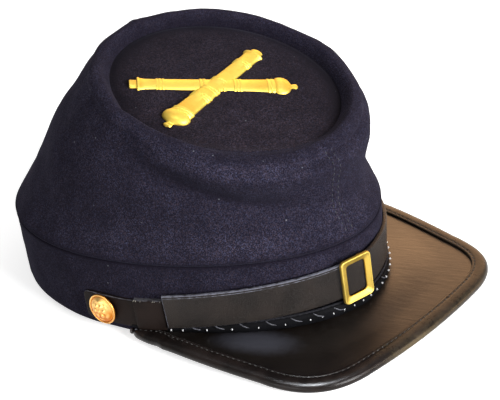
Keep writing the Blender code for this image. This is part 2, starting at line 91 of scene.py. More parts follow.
class Side(Enum):
    """The wearer's two sides, as the sign of X."""

    RIGHT = -1
    LEFT = 1


# --- curves and grids ---


def unit(vectors: Points) -> Points:
    """Vectors along the last axis, scaled to length one."""
    return vectors / maximum(np.linalg.norm(vectors, axis=-1, keepdims=True), 1e-12)


def smooth(share: Points | float) -> Points:
    """0 up to 0, 1 from 1, and a smooth step between."""
    share = clip(share, 0.0, 1.0)
    return share * share * (3 - 2 * share)


def bump(offset: Points | float, width: float) -> Points:
    """A bell of height one, about width wide to each side."""
    return np.exp(-((asarray(offset) / width) ** 2))


def bell_round(angle: Points, middle: float, width: float) -> Points:
    """A bell round the cap, whose middle and width are in degrees."""
    return bump((angle - middle + 180) % 360 - 180, width)


def full_turn(count: int) -> Points:
    """Angles in radians, evenly round a full turn."""
    return linspace(0, 2 * pi, count, endpoint=False)


def curve_through(knots: Sequence[float], values: Sequence, at: Points) -> Points:
    """A smooth curve through values at rising knots.

    Args:
        knots: Where the values stand, rising.
        values: One value, or one row of values, for each knot.
        at: Places to read the curve at.

    Returns:
        The curve's value, or row of values, at each place.
    """
    knots = asarray(knots, float)
    values = asarray(values, float)
    at = clip(asarray(at, float), knots[0], knots[-1])
    slopes = gradient(values, knots, axis=0)
    i = clip(np.searchsorted(knots, at, side="right") - 1, 0, len(knots) - 2)
    span = (knots[i + 1] - knots[i])[..., None]
    t = (at - knots[i])[..., None] / span
    start = (2 * t**3 - 3 * t**2 + 1) * values[i] + (t**3 - 2 * t**2 + t) * span * slopes[i]
    end = (3 * t**2 - 2 * t**3) * values[i + 1] + (t**3 - t**2) * span * slopes[i + 1]
    return start + end


def lengths(line: Points) -> Points:
    """How far along a line of points each of them lies."""
    steps = np.linalg.norm(np.diff(line, axis=0), axis=1)
    return concatenate([[0.0], np.cumsum(steps)])


def read_along(line: Points, length: Points, at: Points) -> Points:
    """The rows of a line, whose lengths along it are given, read at other lengths."""
    return stack([interp(at, length, column) for column in line.T], 1)


def resample(line: Points, count: int) -> Points:
    """A line of as many points as asked for, spaced evenly along its length."""
    length = lengths(line)
    return read_along(line, length, linspace(0, length[-1], count))


def in_axes(origin: Points, axes: Sequence[Points], parts: Sequence[Points]) -> Points:
    """Points given by how far each lies from an origin along three axes."""
    steps = [asarray(part, float)[..., None] * axis for part, axis in zip(parts, axes)]
    return origin + steps[0] + steps[1] + steps[2]


def grid_normals(grid: Points) -> Points:
    """Unit normals of a grid of points whose first axis closes on itself.

    Args:
        grid: Points as an array of stations by rows by three.

    Returns:
        A normal for each point.
    """
    around = np.roll(grid, -1, axis=0) - np.roll(grid, 1, axis=0)
    up = gradient(grid, axis=1)
    return unit(cross(around, up))


@dataclass(frozen=True)
class Ripple:
    """The slight unevenness of cloth: waves that cross at random.

    Attributes:
        length: The usual distance from crest to crest.
        height: How high the crests usually are.
        seed: Which unevenness of this kind.
        waves: How many waves cross.
        spread: The shortest and the longest wave, as shares of the usual one.
    """

    length: float
    height: float
    seed: int
    waves: int = 16
    spread: Pair = (0.7, 1.8)

    def at(self, points: Points) -> Points:
        """How far the surface stands out.

        Args:
            points: Places on it, one a row.

        Returns:
            The height at each.
        """
        rng = np.random.default_rng(self.seed)
        ways = unit(rng.normal(size=(self.waves, 3)))
        pitch = 2 * pi / (self.length * rng.uniform(*self.spread, self.waves))
        start = rng.uniform(0, 2 * pi, self.waves)
        total = sin(points @ (ways * pitch[:, None]).T + start).sum(-1)
        return total * self.height * sqrt(2 / self.waves)


@dataclass(frozen=True)
class Stitching:
    """A row of stitches.

    Attributes:
        pitch: From the start of one stitch to the next.
        length: Each stitch's length.
        radius: The thread's radius.
        rise: How far a stitch's middle stands off what it is sewn into.
        sink: How far its ends go down from there.
        margins: How far from the row's two ends it keeps.
        points: Points along each stitch.
    """

    pitch: float
    length: float
    radius: float
    rise: float
    sink: float
    margins: Pair
    points: int = 6

    def along(self, line: Points, way: Points) -> list[Points]:
        """The stitches' paths.

        Args:
            line: The points that the row follows, in order.
            way: The direction off the surface, at each of them or at all.

        Returns:
            A path for each stitch.
        """
        both = concatenate([line, broadcast_to(way, line.shape)], 1)
        length = lengths(line)
        first, last = self.margins
        arch = (self.rise - self.sink * linspace(-1, 1, self.points) ** 4)[:, None]
        paths = []
        for start in arange(first, length[-1] - last, self.pitch):
            at = start + linspace(0, self.length, self.points)
            spots = read_along(both, length, at)
            paths.append(spots[:, :3] + spots[:, 3:] * arch)
        return paths


# --- the cap's form ---


@dataclass(frozen=True)
class CapForm:
    """The cap's main outline, and its place in the row."""

    gap: float = 0.3
    cloth: float = 2.2
    half_width: float = 83.6
    half_length: float = 107.7
    power: float = 1.95
    egg: float = 0.137
    band_height: float = 35.1
    seam_rise: float = 0.0163
    rest_tilt: float = 2.37863
    centre_y: float = -18.0
    top_centre: Triple = (0.0, -33.8, 97.8)
    top_tilt: float = 18.9
    top_half_width: float = 53.6
    top_half_length: float = 58.6
    # where the band is drawn in a little: an angle, a width and a depth, then its top
    tuck: Triple = (38.0, 22.0, 2.2)
    tuck_top: float = 32.0
    tuck_run: float = 24.0

    def _edge(self, phi: Points) -> Points:
        """The band's outline in plan.

        Args:
            phi: Angles in radians.

        Returns:
            A point in plan for each.
        """
        c, s = cos(phi), sin(phi)
        x = np.sign(s) * abs(s) ** (2 / self.power) * self.half_width * (1 - self.egg * c)
        y = -np.sign(c) * abs(c) ** (2 / self.power) * self.half_length
        return stack([x, y], -1)

    def away(self, angle: Points | float) -> Points:
        """The band's outward direction at angles, as unit vectors in space."""
        along = unit(self._edge(radians(angle) + 0.001) - self._edge(radians(angle) - 0.001))
        return stack([along[..., 1], -along[..., 0], 0 * along[..., 0]], -1)

    def along(self, angle: Points | float) -> Points:
        """The direction round the band at angles, towards the wearer's left in front."""
        away = self.away(angle)
        return stack([-away[..., 1], away[..., 0], away[..., 2]], -1)

    def place(self, angle: Points, out: Points, height: Points) -> Points:
        """Points round the band.

        Args:
            angle: Angles round the cap.
            out: How far each lies out from the band's face.
            height: How high each lies over the band's lower edge.

        Returns:
            The points, in the cap's frame.
        """
        given = [asarray(values, float) for values in (angle, out, height)]
        angle, out, height = np.broadcast_arrays(*given)
        edge = self._edge(radians(angle))
        flat = concatenate([edge, height[..., None]], -1)
        middle, wide, deep = self.tuck
        low = smooth((self.tuck_top - height) / self.tuck_run)
        tucked = deep * bump(angle - middle, wide) * low
        return flat + self.away(angle) * (out - tucked)[..., None]

    def seam_height(self, y: Points) -> Points:
        """The band's top over its lower edge, at places along the cap."""
        return self.band_height + self.seam_rise * y

    def top_axes(self) -> tuple[Points, Points, Points]:
        """The top's directions.

        Returns:
            To the left, to the back along its slope, and out of it.
        """
        tilt = radians(self.top_tilt)
        left = array([1.0, 0.0, 0.0])
        back = array([0.0, cos(tilt), sin(tilt)])
        return left, back, cross(left, back)

    def on_top(self, across: Points, back: Points, up: Points) -> Points:
        """Points given by their place on the round top, in the cap's frame."""
        return in_axes(array(self.top_centre), self.top_axes(), (across, back, up))

    def matrix(self) -> Matrix:
        """From the cap's frame in metres to the row's."""
        tilt = radians(self.rest_tilt)
        turn = Matrix.Rotation(-tilt, 4, "X")
        lift = self.half_length * sin(tilt)
        return Matrix.Translation((0, -self.centre_y * MM, lift * MM)) @ turn


# --- finishes ---


class Graph:
    """Short ways to add and link the nodes of one tree."""

    def __init__(self, tree: Tree) -> None:
        """Keeps the tree."""
        self.tree = tree

    def feed(self, node: Node, sockets: dict) -> None:
        """Gives a node its inputs.

        Args:
            node: The node.
            sockets: For inputs by name or number, a value or an output to link.
        """
        for socket, value in sockets.items():
            if isinstance(value, Socket):
                self.tree.links.new(value, node.inputs[socket])
            else:
                node.inputs[socket].default_value = value

    def add(self, kind: str, sockets: dict | None = None, **settings: object) -> Node:
        """A new node.

        Args:
            kind: The node's type, without its ShaderNode prefix.
            sockets: For inputs by name or number, a value or an output to link.
            settings: The node's own properties.

        Returns:
            The node.
        """
        node = self.tree.nodes.new(kind if kind.startswith("Node") else "ShaderNode" + kind)
        for setting, value in settings.items():
            setattr(node, setting, value)
        self.feed(node, sockets or {})
        return node

    def math(self, kind: str, first: object, second: object, clamp: bool = False) -> Socket:
        """The result of one sum."""
        return self.add("Math", {0: first, 1: second}, operation=kind, use_clamp=clamp).outputs[0]

    def plus(self, first: object, second: object, clamp: bool = False) -> Socket:
        """Two values added up."""
        return self.math("ADD", first, second, clamp)

    def times(self, first: object, second: object, clamp: bool = False) -> Socket:
        """Two values multiplied."""
        return self.math("MULTIPLY", first, second, clamp)

    def per_metre(self, size: object) -> Socket:
        """How many times a size in millimetres goes into a metre."""
        return self.math("DIVIDE", 1 / MM, size)

    def ramp(self, value: object, low: float, high: float) -> Socket:
        """0 where a value is under low, 1 over high, smooth between."""
        sockets = {"Value": value, "From Min": low, "From Max": high}
        return self.add("MapRange", sockets, interpolation_type="SMOOTHSTEP").outputs["Result"]

    def mix(self, share: object, first: object, second: object) -> Socket:
        """A colour between two, as a share of the second."""
        both = [c if isinstance(c, Socket) else (*c, 1.0) for c in (first, second)]
        return self.add("Mix", {0: share, 6: both[0], 7: both[1]}, data_type="RGBA").outputs[2]

    def noise(self, where: object, scale: object, detail: float, rough: float) -> Socket:
        """A soft random pattern between 0 and 1."""
        sockets = {"Vector": where, "Scale": scale, "Detail": detail, "Roughness": rough}
        return self.add("TexNoise", sockets).outputs["Fac"]

    def mask(self, name: str) -> Socket:
        """A mask that the piece carries, by name."""
        return self.add("Attribute", attribute_name=name).outputs["Fac"]


class Effects:
    """The effects that several finishes share, each a node group built once."""

    def __init__(self) -> None:
        """Builds every group."""
        self.nap = self._nap()
        self.grain = self._grain()
        self.wear = self._wear()

    @staticmethod
    def _group(name: str, inputs: dict[str, float | None], outputs: Sequence[str]) -> tuple:
        """An empty group with its sockets.

        Args:
            name: The group's name.
            inputs: Each input's starting value, or None for a place in space.
            outputs: The outputs' names; all are plain values.

        Returns:
            The group, a Graph to fill it with, what it is given and its output node.
        """
        tree = bpy.data.node_groups.new(name, "ShaderNodeTree")
        for socket, value in inputs.items():
            kind = "NodeSocketVector" if value is None else "NodeSocketFloat"
            made = tree.interface.new_socket(socket, in_out="INPUT", socket_type=kind)
            if value is not None:
                made.default_value = value
        for socket in outputs:
            tree.interface.new_socket(socket, in_out="OUTPUT", socket_type="NodeSocketFloat")
        graph = Graph(tree)
        return tree, graph, graph.add("NodeGroupInput").outputs, graph.add("NodeGroupOutput")

    def _nap(self) -> Tree:
        """Felted wool: short fibres, soft blotches and a few specks of lint."""
        tree, g, given, end = self._group(
            "wool nap",
            {"Place": None, "Fibre Size": 0.7, "Blotch Size": 9.0, "Lint": 0.5},
            ("Fibre", "Blotch", "Hue", "Lint", "Height"),
        )
        place = given["Place"]
        scale = g.per_metre(given["Fibre Size"])
        fine = g.noise(place, scale, 2.0, 0.7)
        long = g.noise(place, g.times(scale, 0.4), 2.0, 0.6)
        fibre = g.plus(g.times(fine, 0.78), g.times(long, 0.22))
        hue = g.noise(place, g.times(scale, 0.7), 1.0, 0.5)
        blotch = g.noise(place, g.per_metre(given["Blotch Size"]), 3.0, 0.55)
        cells = g.add("TexVoronoi", {"Vector": place, "Scale": 150.0}).outputs
        rare = g.ramp(g.add("SeparateColor", {0: cells["Color"]}).outputs[0], 0.6, 0.62)
        speck = g.math("SUBTRACT", 1.0, g.ramp(cells["Distance"], 0.03, 0.075))
        g.feed(end, {
            "Fibre": g.ramp(fibre, 0.42, 0.7),
            "Blotch": g.ramp(blotch, 0.3, 0.7),
            "Hue": g.ramp(hue, 0.35, 0.65),
            "Lint": g.times(g.times(rare, speck), given["Lint"], True),
            "Height": fibre,
        })
        return tree

    def _grain(self) -> Tree:
        """Leather: fine pores, slow waves of its surface and faint streaks along it."""
        tree, g, given, end = self._group(
            "leather grain",
            {"Place": None, "Pore Size": 0.9, "Wave Size": 18.0, "Pores": 1.0, "Waves": 1.0,
             "Streaks": 0.0},
            ("Waves", "Height"),
        )
        place = given["Place"]
        scale = g.per_metre(given["Pore Size"])
        cells = g.add("TexVoronoi", {"Vector": place, "Scale": scale}, feature="DISTANCE_TO_EDGE")
        pores = g.ramp(cells.outputs["Distance"], 0.0, 0.22)
        fine = g.noise(place, g.times(scale, 1.9), 2.0, 0.6)
        skin = g.plus(g.times(pores, 0.5), g.times(fine, 0.5))
        waves = g.noise(place, g.per_metre(given["Wave Size"]), 3.0, 0.5)
        drawn = g.add(
            "Mapping", {"Vector": place, "Rotation": (0.0, 0.0, -1.1), "Scale": (7.0, 1.0, 1.0)},
            vector_type="TEXTURE",
        ).outputs[0]
        streaks = g.noise(drawn, 520.0, 3.0, 0.6)
        height = g.plus(g.times(skin, given["Pores"]), g.times(waves, given["Waves"]))
        height = g.plus(height, g.times(streaks, given["Streaks"]))
        g.feed(end, {"Waves": waves, "Height": height})
        return tree

    def _wear(self) -> Tree:
        """Rubbed edges and painted light: a mask of where they are, broken up by a random
        pattern.
        """
        tree, g, given, end = self._group(
            "edge wear and painted light",
            {"Place": None, "Edge": 0.0, "Size": 2.5, "Amount": 1.0, "Breakup": 1.1},
            ("Worn",),
        )
        spread = g.noise(given["Place"], g.per_metre(given["Size"]), 3.0, 0.6)
        broken = g.times(g.math("SUBTRACT", spread, 0.5), given["Breakup"])
        rough = g.plus(given["Edge"], broken)
        g.feed(end, {"Worn": g.times(g.ramp(rough, 0.35, 0.95), given["Amount"], True)})
        return tree


@dataclass(frozen=True)
class Finish:
    """What every finish has: its name and slot, and how its material begins and ends."""

    name: str
    slot: Slot

    def _begin(self, constants: dict[str, object]) -> tuple[Material, Graph, Node, Socket]:
        """A material with its shader and a place in space.

        Args:
            constants: Values for the shader's own sockets.

        Returns:
            The material, its graph, its shader and the coordinates to read patterns at.
        """
        material = bpy.data.materials.new(self.name)
        material.use_nodes = True
        shader = material.node_tree.nodes["Principled BSDF"]
        graph = Graph(material.node_tree)
        graph.feed(shader, constants)
        return material, graph, shader, graph.add("TexCoord").outputs["Object"]

    @staticmethod
    def _end(graph: Graph, shader: Node, height: Socket, depth: float, **seen: Socket) -> None:
        """Feeds a shader what changes over the surface.

        Args:
            graph: The material's graph.
            shader: Its shader.
            height: The surface's relief.
            depth: How deep the relief goes, in millimetres.
            seen: The surface's colour, and its roughness where that changes too.
        """
        relief = graph.add("Bump", {"Height": height, "Strength": 1.0, "Distance": depth * MM})
        names = {"colour": "Base Color", "rough": "Roughness"}
        graph.feed(shader, {names[name]: value for name, value in seen.items()})
        graph.feed(shader, {"Normal": relief.outputs["Normal"]})


@dataclass(frozen=True)
class Wool(Finish):
    """Close felted wool cloth with a bluish bloom, lighter and darker where its mask paints
    rubbed nap, painted light and painted shade.
    """

    deep: Colour
    blue: Colour
    mauve: Colour
    lint: Colour = (0.16, 0.165, 0.19)
    fibre_size: float = 0.54
    blotch_size: float = 11.0
    lint_amount: float = 0.7
    depth: float = 0.14
    roughness: float = 0.96
    specular: float = 0.03
    sheen: float = 0.04
    sheen_roughness: float = 0.45
    sheen_tint: Colour = (0.5, 0.5, 0.75)

    def material(self, effects: Effects) -> Material:
        """Builds the finish."""
        material, g, shader, place = self._begin({
            "Roughness": self.roughness, "Specular IOR Level": self.specular,
            "Sheen Weight": self.sheen, "Sheen Roughness": self.sheen_roughness,
            "Sheen Tint": (*self.sheen_tint, 1.0),
        })
        nap = g.add("Group", {
            "Place": place, "Fibre Size": self.fibre_size, "Blotch Size": self.blotch_size,
            "Lint": self.lint_amount,
        }, node_tree=effects.nap).outputs
        # the cloth's lightness from its mask: rubbed nap, painted light and painted shade
        wear_and_painted_light_bloom = g.times(g.mask("rubbed"), g.plus(0.75, g.times(nap["Blotch"], 0.5)))
        fibre = g.plus(0.07, g.times(nap["Fibre"], 0.81))
        hue = g.mix(nap["Hue"], self.blue, self.mauve)
        cloth = g.mix(g.times(fibre, wear_and_painted_light_bloom, True), self.deep, hue)
        colour = g.mix(nap["Lint"], cloth, self.lint)
        self._end(g, shader, nap["Height"], self.depth, colour=colour)
        return material


@dataclass(frozen=True)
class Leather(Finish):
    """Leather with pores, slow waves, faint streaks, rubbed edges and patches of painted light.
    """

    deep: Colour
    light: Colour
    worn: Colour
    roughness: float
    rough_spread: float
    pore_size: float
    pore_share: float
    wave_size: float
    wave_share: float
    depth: float
    specular: float = 0.5
    breakup: float = 1.1
    streaks: float = 0.0
    worn_roughness: float = 0.12

    def material(self, effects: Effects) -> Material:
        """Builds the finish."""
        material, g, shader, place = self._begin({"Specular IOR Level": self.specular})
        grain = g.add("Group", {
            "Place": place, "Pore Size": self.pore_size, "Wave Size": self.wave_size,
            "Pores": self.pore_share, "Waves": self.wave_share, "Streaks": self.streaks,
        }, node_tree=effects.grain).outputs
        worn = g.add("Group", {
            "Place": place, "Edge": g.mask("edge"), "Breakup": self.breakup,
        }, node_tree=effects.wear).outputs["Worn"]
        skin = g.mix(g.ramp(grain["Waves"], 0.3, 0.7), self.deep, self.light)
        spread = g.times(g.math("SUBTRACT", grain["Waves"], 0.5), self.rough_spread)
        rough = g.plus(g.plus(spread, self.roughness), g.times(worn, self.worn_roughness))
        colour = g.mix(worn, skin, self.worn)
        self._end(g, shader, grain["Height"], self.depth, colour=colour, rough=rough)
        return material


@dataclass(frozen=True)
class Brass(Finish):
    """Satin brass, darker in its hollows and where shade is painted on it."""

    bright: Colour
    hollow: Colour
    roughness: float
    depth: float = 0.03

    def material(self, effects: Effects) -> Material:
        """Builds the finish."""
        material, g, shader, place = self._begin({"Metallic": 1.0})
        cloud = g.noise(place, 260.0, 4.0, 0.6)
        fine = g.noise(place, 2400.0, 2.0, 0.6)
        stain_and_painted_shade = g.plus(g.mask("hollow"), g.times(g.ramp(cloud, 0.45, 0.8), 0.18), True)
        colour = g.mix(stain_and_painted_shade, self.bright, self.hollow)
        rough = g.plus(self.roughness, g.times(cloud, 0.14))
        self._end(g, shader, fine, self.depth, colour=colour, rough=rough)
        return material


@dataclass(frozen=True)
class Thread(Finish):
    """Waxed thread or cord."""

    deep: Colour
    light: Colour
    roughness: float
    fibre_size: float = 0.5
    blotch_size: float = 3.0
    depth: float = 0.12
    specular: float = 0.6

    def material(self, effects: Effects) -> Material:
        """Builds the finish."""
        material, g, shader, place = self._begin({"Specular IOR Level": self.specular})
        nap = g.add("Group", {
            "Place": place, "Fibre Size": self.fibre_size, "Blotch Size": self.blotch_size,
            "Lint": 0.0,
        }, node_tree=effects.nap).outputs
        colour = g.mix(nap["Fibre"], self.deep, self.light)
        rough = g.plus(self.roughness, g.times(nap["Blotch"], 0.15))
        self._end(g, shader, nap["Height"], self.depth, colour=colour, rough=rough)
        return material


class Look(Enum):
    """The cap's finishes."""

    WOOL = Wool(
        "dark blue wool", Slot.WOOL, (0.006, 0.005, 0.009), (0.059, 0.061, 0.112),
        (0.066, 0.051, 0.073),
    )
    TOP_WOOL = Wool(
        "faded blue wool", Slot.WOOL, (0.006, 0.005, 0.007), (0.066, 0.058, 0.092),
        (0.08, 0.053, 0.066), fibre_size=0.64,
    )
    # each leather's worn colour is also its painted light: a sheen on the visor, a warm
    # reflection on the binding, a highlight along the straps' upper edges
    VISOR = Leather(
        "polished black leather", Slot.VISOR, (0.0042, 0.0027, 0.0019),
        (0.0072, 0.0048, 0.0034), (0.036, 0.0365, 0.047), roughness=0.33, rough_spread=0.1,
        pore_size=0.7, pore_share=0.16, wave_size=16.0, wave_share=0.8, depth=0.12,
        breakup=0.2, streaks=0.9,
    )
    BINDING = Leather(
        "rolled black leather", Slot.VISOR, (0.006, 0.0042, 0.0038),
        (0.014, 0.0092, 0.0078), (0.1, 0.074, 0.036), roughness=0.25, rough_spread=0.15,
        pore_size=0.6, pore_share=0.3, wave_size=9.0, wave_share=0.5, depth=0.12,
        specular=0.17, breakup=0.3, worn_roughness=0.4,
    )
    WELT = Leather(
        "matte black leather", Slot.VISOR, (0.0018, 0.0018, 0.0022),
        (0.0035, 0.0035, 0.0045), (0.008, 0.008, 0.01), roughness=0.7, rough_spread=0.1,
        pore_size=0.7, pore_share=0.5, wave_size=9.0, wave_share=0.4, depth=0.12, specular=0.06,
    )
    STRAP = Leather(
        "strap leather", Slot.STRAP, (0.0085, 0.006, 0.005), (0.0165, 0.0117, 0.0095),
        (0.17, 0.173, 0.215), roughness=0.44, rough_spread=0.2, pore_size=0.5, pore_share=0.9,
        wave_size=12.0, wave_share=0.4, depth=0.23, specular=0.23, breakup=1.5,
    )
    STRAP_INNER = Leather(
        "brown strap leather", Slot.STRAP, (0.0065, 0.0038, 0.0032),
        (0.013, 0.0082, 0.0068), (0.09, 0.088, 0.1), roughness=0.5, rough_spread=0.2,
        pore_size=0.5, pore_share=0.6, wave_size=12.0, wave_share=0.4, depth=0.08,
        specular=0.065,
    )
    # each brass's second colour is that of its hollows and its painted shade
    BRASS = Brass("satin brass", Slot.BRASS, (1.0, 0.83, 0.17), (0.78, 0.38, 0.02), 0.46)
    OLD_BRASS = Brass("older brass", Slot.BRASS, (0.71, 0.51, 0.11), (0.42, 0.22, 0.02), 0.45)
    GILT = Brass("gilt brass", Slot.BRASS, (0.88, 0.55, 0.18), (0.5, 0.15, 0.01), 0.3)
    THREAD = Thread(
        "grey blue thread", Slot.WOOL, (0.012, 0.012, 0.016), (0.05, 0.05, 0.062), 0.7
    )
    WAX_THREAD = Thread(
        "waxed thread", Slot.VISOR, (0.014, 0.013, 0.012), (0.06, 0.057, 0.054), 0.5
    )
    PALE_THREAD = Thread(
        "pale waxed thread", Slot.STRAP, (0.05, 0.045, 0.038), (0.3, 0.28, 0.23), 0.5
    )
    CORD = Thread(
        "grey waxed cord", Slot.VISOR, (0.02, 0.02, 0.026), (0.085, 0.088, 0.11), 0.5
    )
    DARK_CORD = Thread(
        "black waxed cord", Slot.VISOR, (0.003, 0.003, 0.004), (0.02, 0.02, 0.027), 0.6,
        specular=0.12,
    )
    BROWN_KNOT = Thread(
        "brown waxed knot", Slot.VISOR, (0.01, 0.005, 0.004), (0.055, 0.03, 0.027), 0.35
    )
    # knots made pale to stand for glints: a painted highlight
    PAINTED_GLINT_KNOTS = Thread(
        "pale knots as painted glints", Slot.VISOR, (0.45, 0.45, 0.46), (0.75, 0.75, 0.76), 0.25
    )


# --- meshes ---


class Workshop:
    """Makes pieces from grids of points, dresses them and fastens them to the cap's body."""

    def __init__(self, form: CapForm) -> None:
        """Keeps the cap's form, which places every piece, and builds each look once."""
        self.form = form
        effects = Effects()
        self.materials = {look: look.value.material(effects) for look in Look}

    def _object(self, name: str, points: Points, faces: list, masks: dict[str, Points]) -> Piece:
        """A piece with a mesh in the row's metres.

        Args:
            name: The piece's name.
            points: Its points, in the cap's frame.
            faces: Its faces, as rows of point numbers.
            masks: Values for its material to read, one for each point, by name.

        Returns:
            The new piece, in the scene.
        """
        mesh = bpy.data.meshes.new(name)
        mesh.from_pydata((points.reshape(-1, 3) * MM).tolist(), [], faces)
        mesh.transform(self.form.matrix())
        for mask, values in masks.items():
            layer = mesh.attributes.new(mask, "FLOAT", "POINT")
            layer.data.foreach_set("value", asarray(values, np.float32).ravel())
        joined = bmesh.new()
        joined.from_mesh(mesh)
        bmesh.ops.remove_doubles(joined, verts=joined.verts, dist=1e-7)
        bmesh.ops.recalc_face_normals(joined, faces=joined.faces)
        joined.to_mesh(mesh)
        joined.free()
        piece = bpy.data.objects.new(name, mesh)
        bpy.context.scene.collection.objects.link(piece)
        return piece

    @staticmethod
    def _quads(rows: int, columns: int, around: bool, wrap: bool) -> Points:
        """The faces of a grid of points.

        Args:
            rows: Points along its first axis.
            columns: Points along its second axis.
            around: Whether the first axis closes on itself.
            wrap: Whether the second axis closes on itself.

        Returns:
            The faces, as rows of four point numbers.
        """
        i = arange(rows if around else rows - 1)[:, None]
        j = arange(columns if wrap else columns - 1)[None, :]
        near, far = i * columns, (i + 1) % rows * columns
        after = (j + 1) % columns
        corners = (near + j, far + j, far + after, near + after)
        return stack(corners, -1).reshape(-1, 4)

    def shape(
        self, name: str, grid: Points, around: bool = False, thick: float = 0.0, **masks: Points
    ) -> Piece:
        """A solid through closed loops of points, or a sheet behind a grid of points.

        Args:
            name: The piece's name.
            grid: An array of loops, or of a sheet's rows, by points by three.
            around: Whether the last loop or row joins the first; if not, loops are capped.
            thick: The sheet's thickness; a solid through loops has none.
            masks: Values for the material, one for each point.

        Returns:
            The new piece.
        """
        count, wide = grid.shape[:2]
        faces = self._quads(count, wide, around, not thick).tolist()
        if not (around or thick):
            faces += [list(range(wide)), list(range((count - 1) * wide, count * wide))]
        piece = self._object(name, grid, faces, masks)
        if thick:
            body = piece.modifiers.new("thickness", "SOLIDIFY")
            body.thickness = thick * MM
            body.offset = -1.0
            body.use_even_offset = True
            body.use_quality_normals = True
        return piece

    def cords(
        self, name: str, paths: Sequence[Points], radius: float, look: Look, sides: int = 8
    ) -> Piece:
        """Short rounded cords, one along each path, built as one piece and dressed.

        Args:
            name: The piece's name.
            paths: The cords' paths, with the same number of points in each.
            radius: The cords' radius.
            look: Their finish.
            sides: How many sides each cord has.

        Returns:
            The new piece.
        """
        paths = array(paths)
        count, length = paths.shape[:2]
        way = unit(gradient(paths, axis=1))
        side = unit(cross(way, array([0.13, 0.21, 0.97])))
        up = cross(side, way)
        share = linspace(-1, 1, length)
        thick = radius * sqrt(clip(1 - abs(share) ** 5, 0.02, 1))
        turn = full_turn(sides)[:, None]
        ring = cos(turn) * side[:, :, None, :] + sin(turn) * up[:, :, None, :]
        loops = paths[:, :, None, :] + ring * thick[None, :, None, None]
        faces: list = []
        for start in range(0, count * length * sides, length * sides):
            faces += (self._quads(length, sides, False, True) + start).tolist()
            for end in (start, start + (length - 1) * sides):
                faces.append(list(range(end, end + sides)))
        return self.dress(self._object(name, loops, faces, {}), look)

    def dress(
        self, piece: Piece, look: Look, replaces: Sequence[str] = (), crease: float = 40.0
    ) -> Piece:
        """Gives a piece its finish and fastens it to the cap.

        Args:
            piece: The piece.
            look: Its finish.
            replaces: The solids that it stands for.
            crease: Edges sharper than this stay crisp.

        Returns:
            The same piece.
        """
        piece.data.materials.append(self.materials[look])
        piece.data.shade_smooth()
        piece.data.set_sharp_from_angle(angle=radians(crease))
        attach(piece, BODY)
        if replaces:
            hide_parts(*replaces)
        log.info("%s: %d faces", piece.name, len(piece.data.polygons))
        return piece


@dataclass
class SubAssembly:
    """What every sub-assembly has: the workshop that makes and dresses its pieces."""

    shop: Workshop

    @property
    def form(self) -> CapForm:
        """The cap's form."""
        return self.shop.form


# --- the cloth ---


@dataclass(frozen=True)
class Fold:
    """A soft swelling or hollow in the crown's wall.

    Attributes:
        angle: Its middle, round the cap.
        share: Its middle, as a share of the wall's height.
        wide: How far it reaches to each side, in degrees.
        tall: How far it reaches up and down, as a share of the wall.
        height: How far it stands out; a hollow is below zero.
        lean: How much it climbs, as a share of the wall per degree.
    """

    angle: float
    share: float
    wide: float
    tall: float
    height: float
    lean: float = 0.0

    def at(self, angle: Points, share: Points) -> Points:
        """How far the cloth stands out.

        Args:
            angle: Places' angles round the cap.
            share: Their heights, as a share of the wall.

        Returns:
            The height at each place.
        """
        off = (angle - self.angle + 180) % 360 - 180
        climb = bump(share - self.share - self.lean * off, self.tall)
        return self.height * bump(off, self.wide) * climb


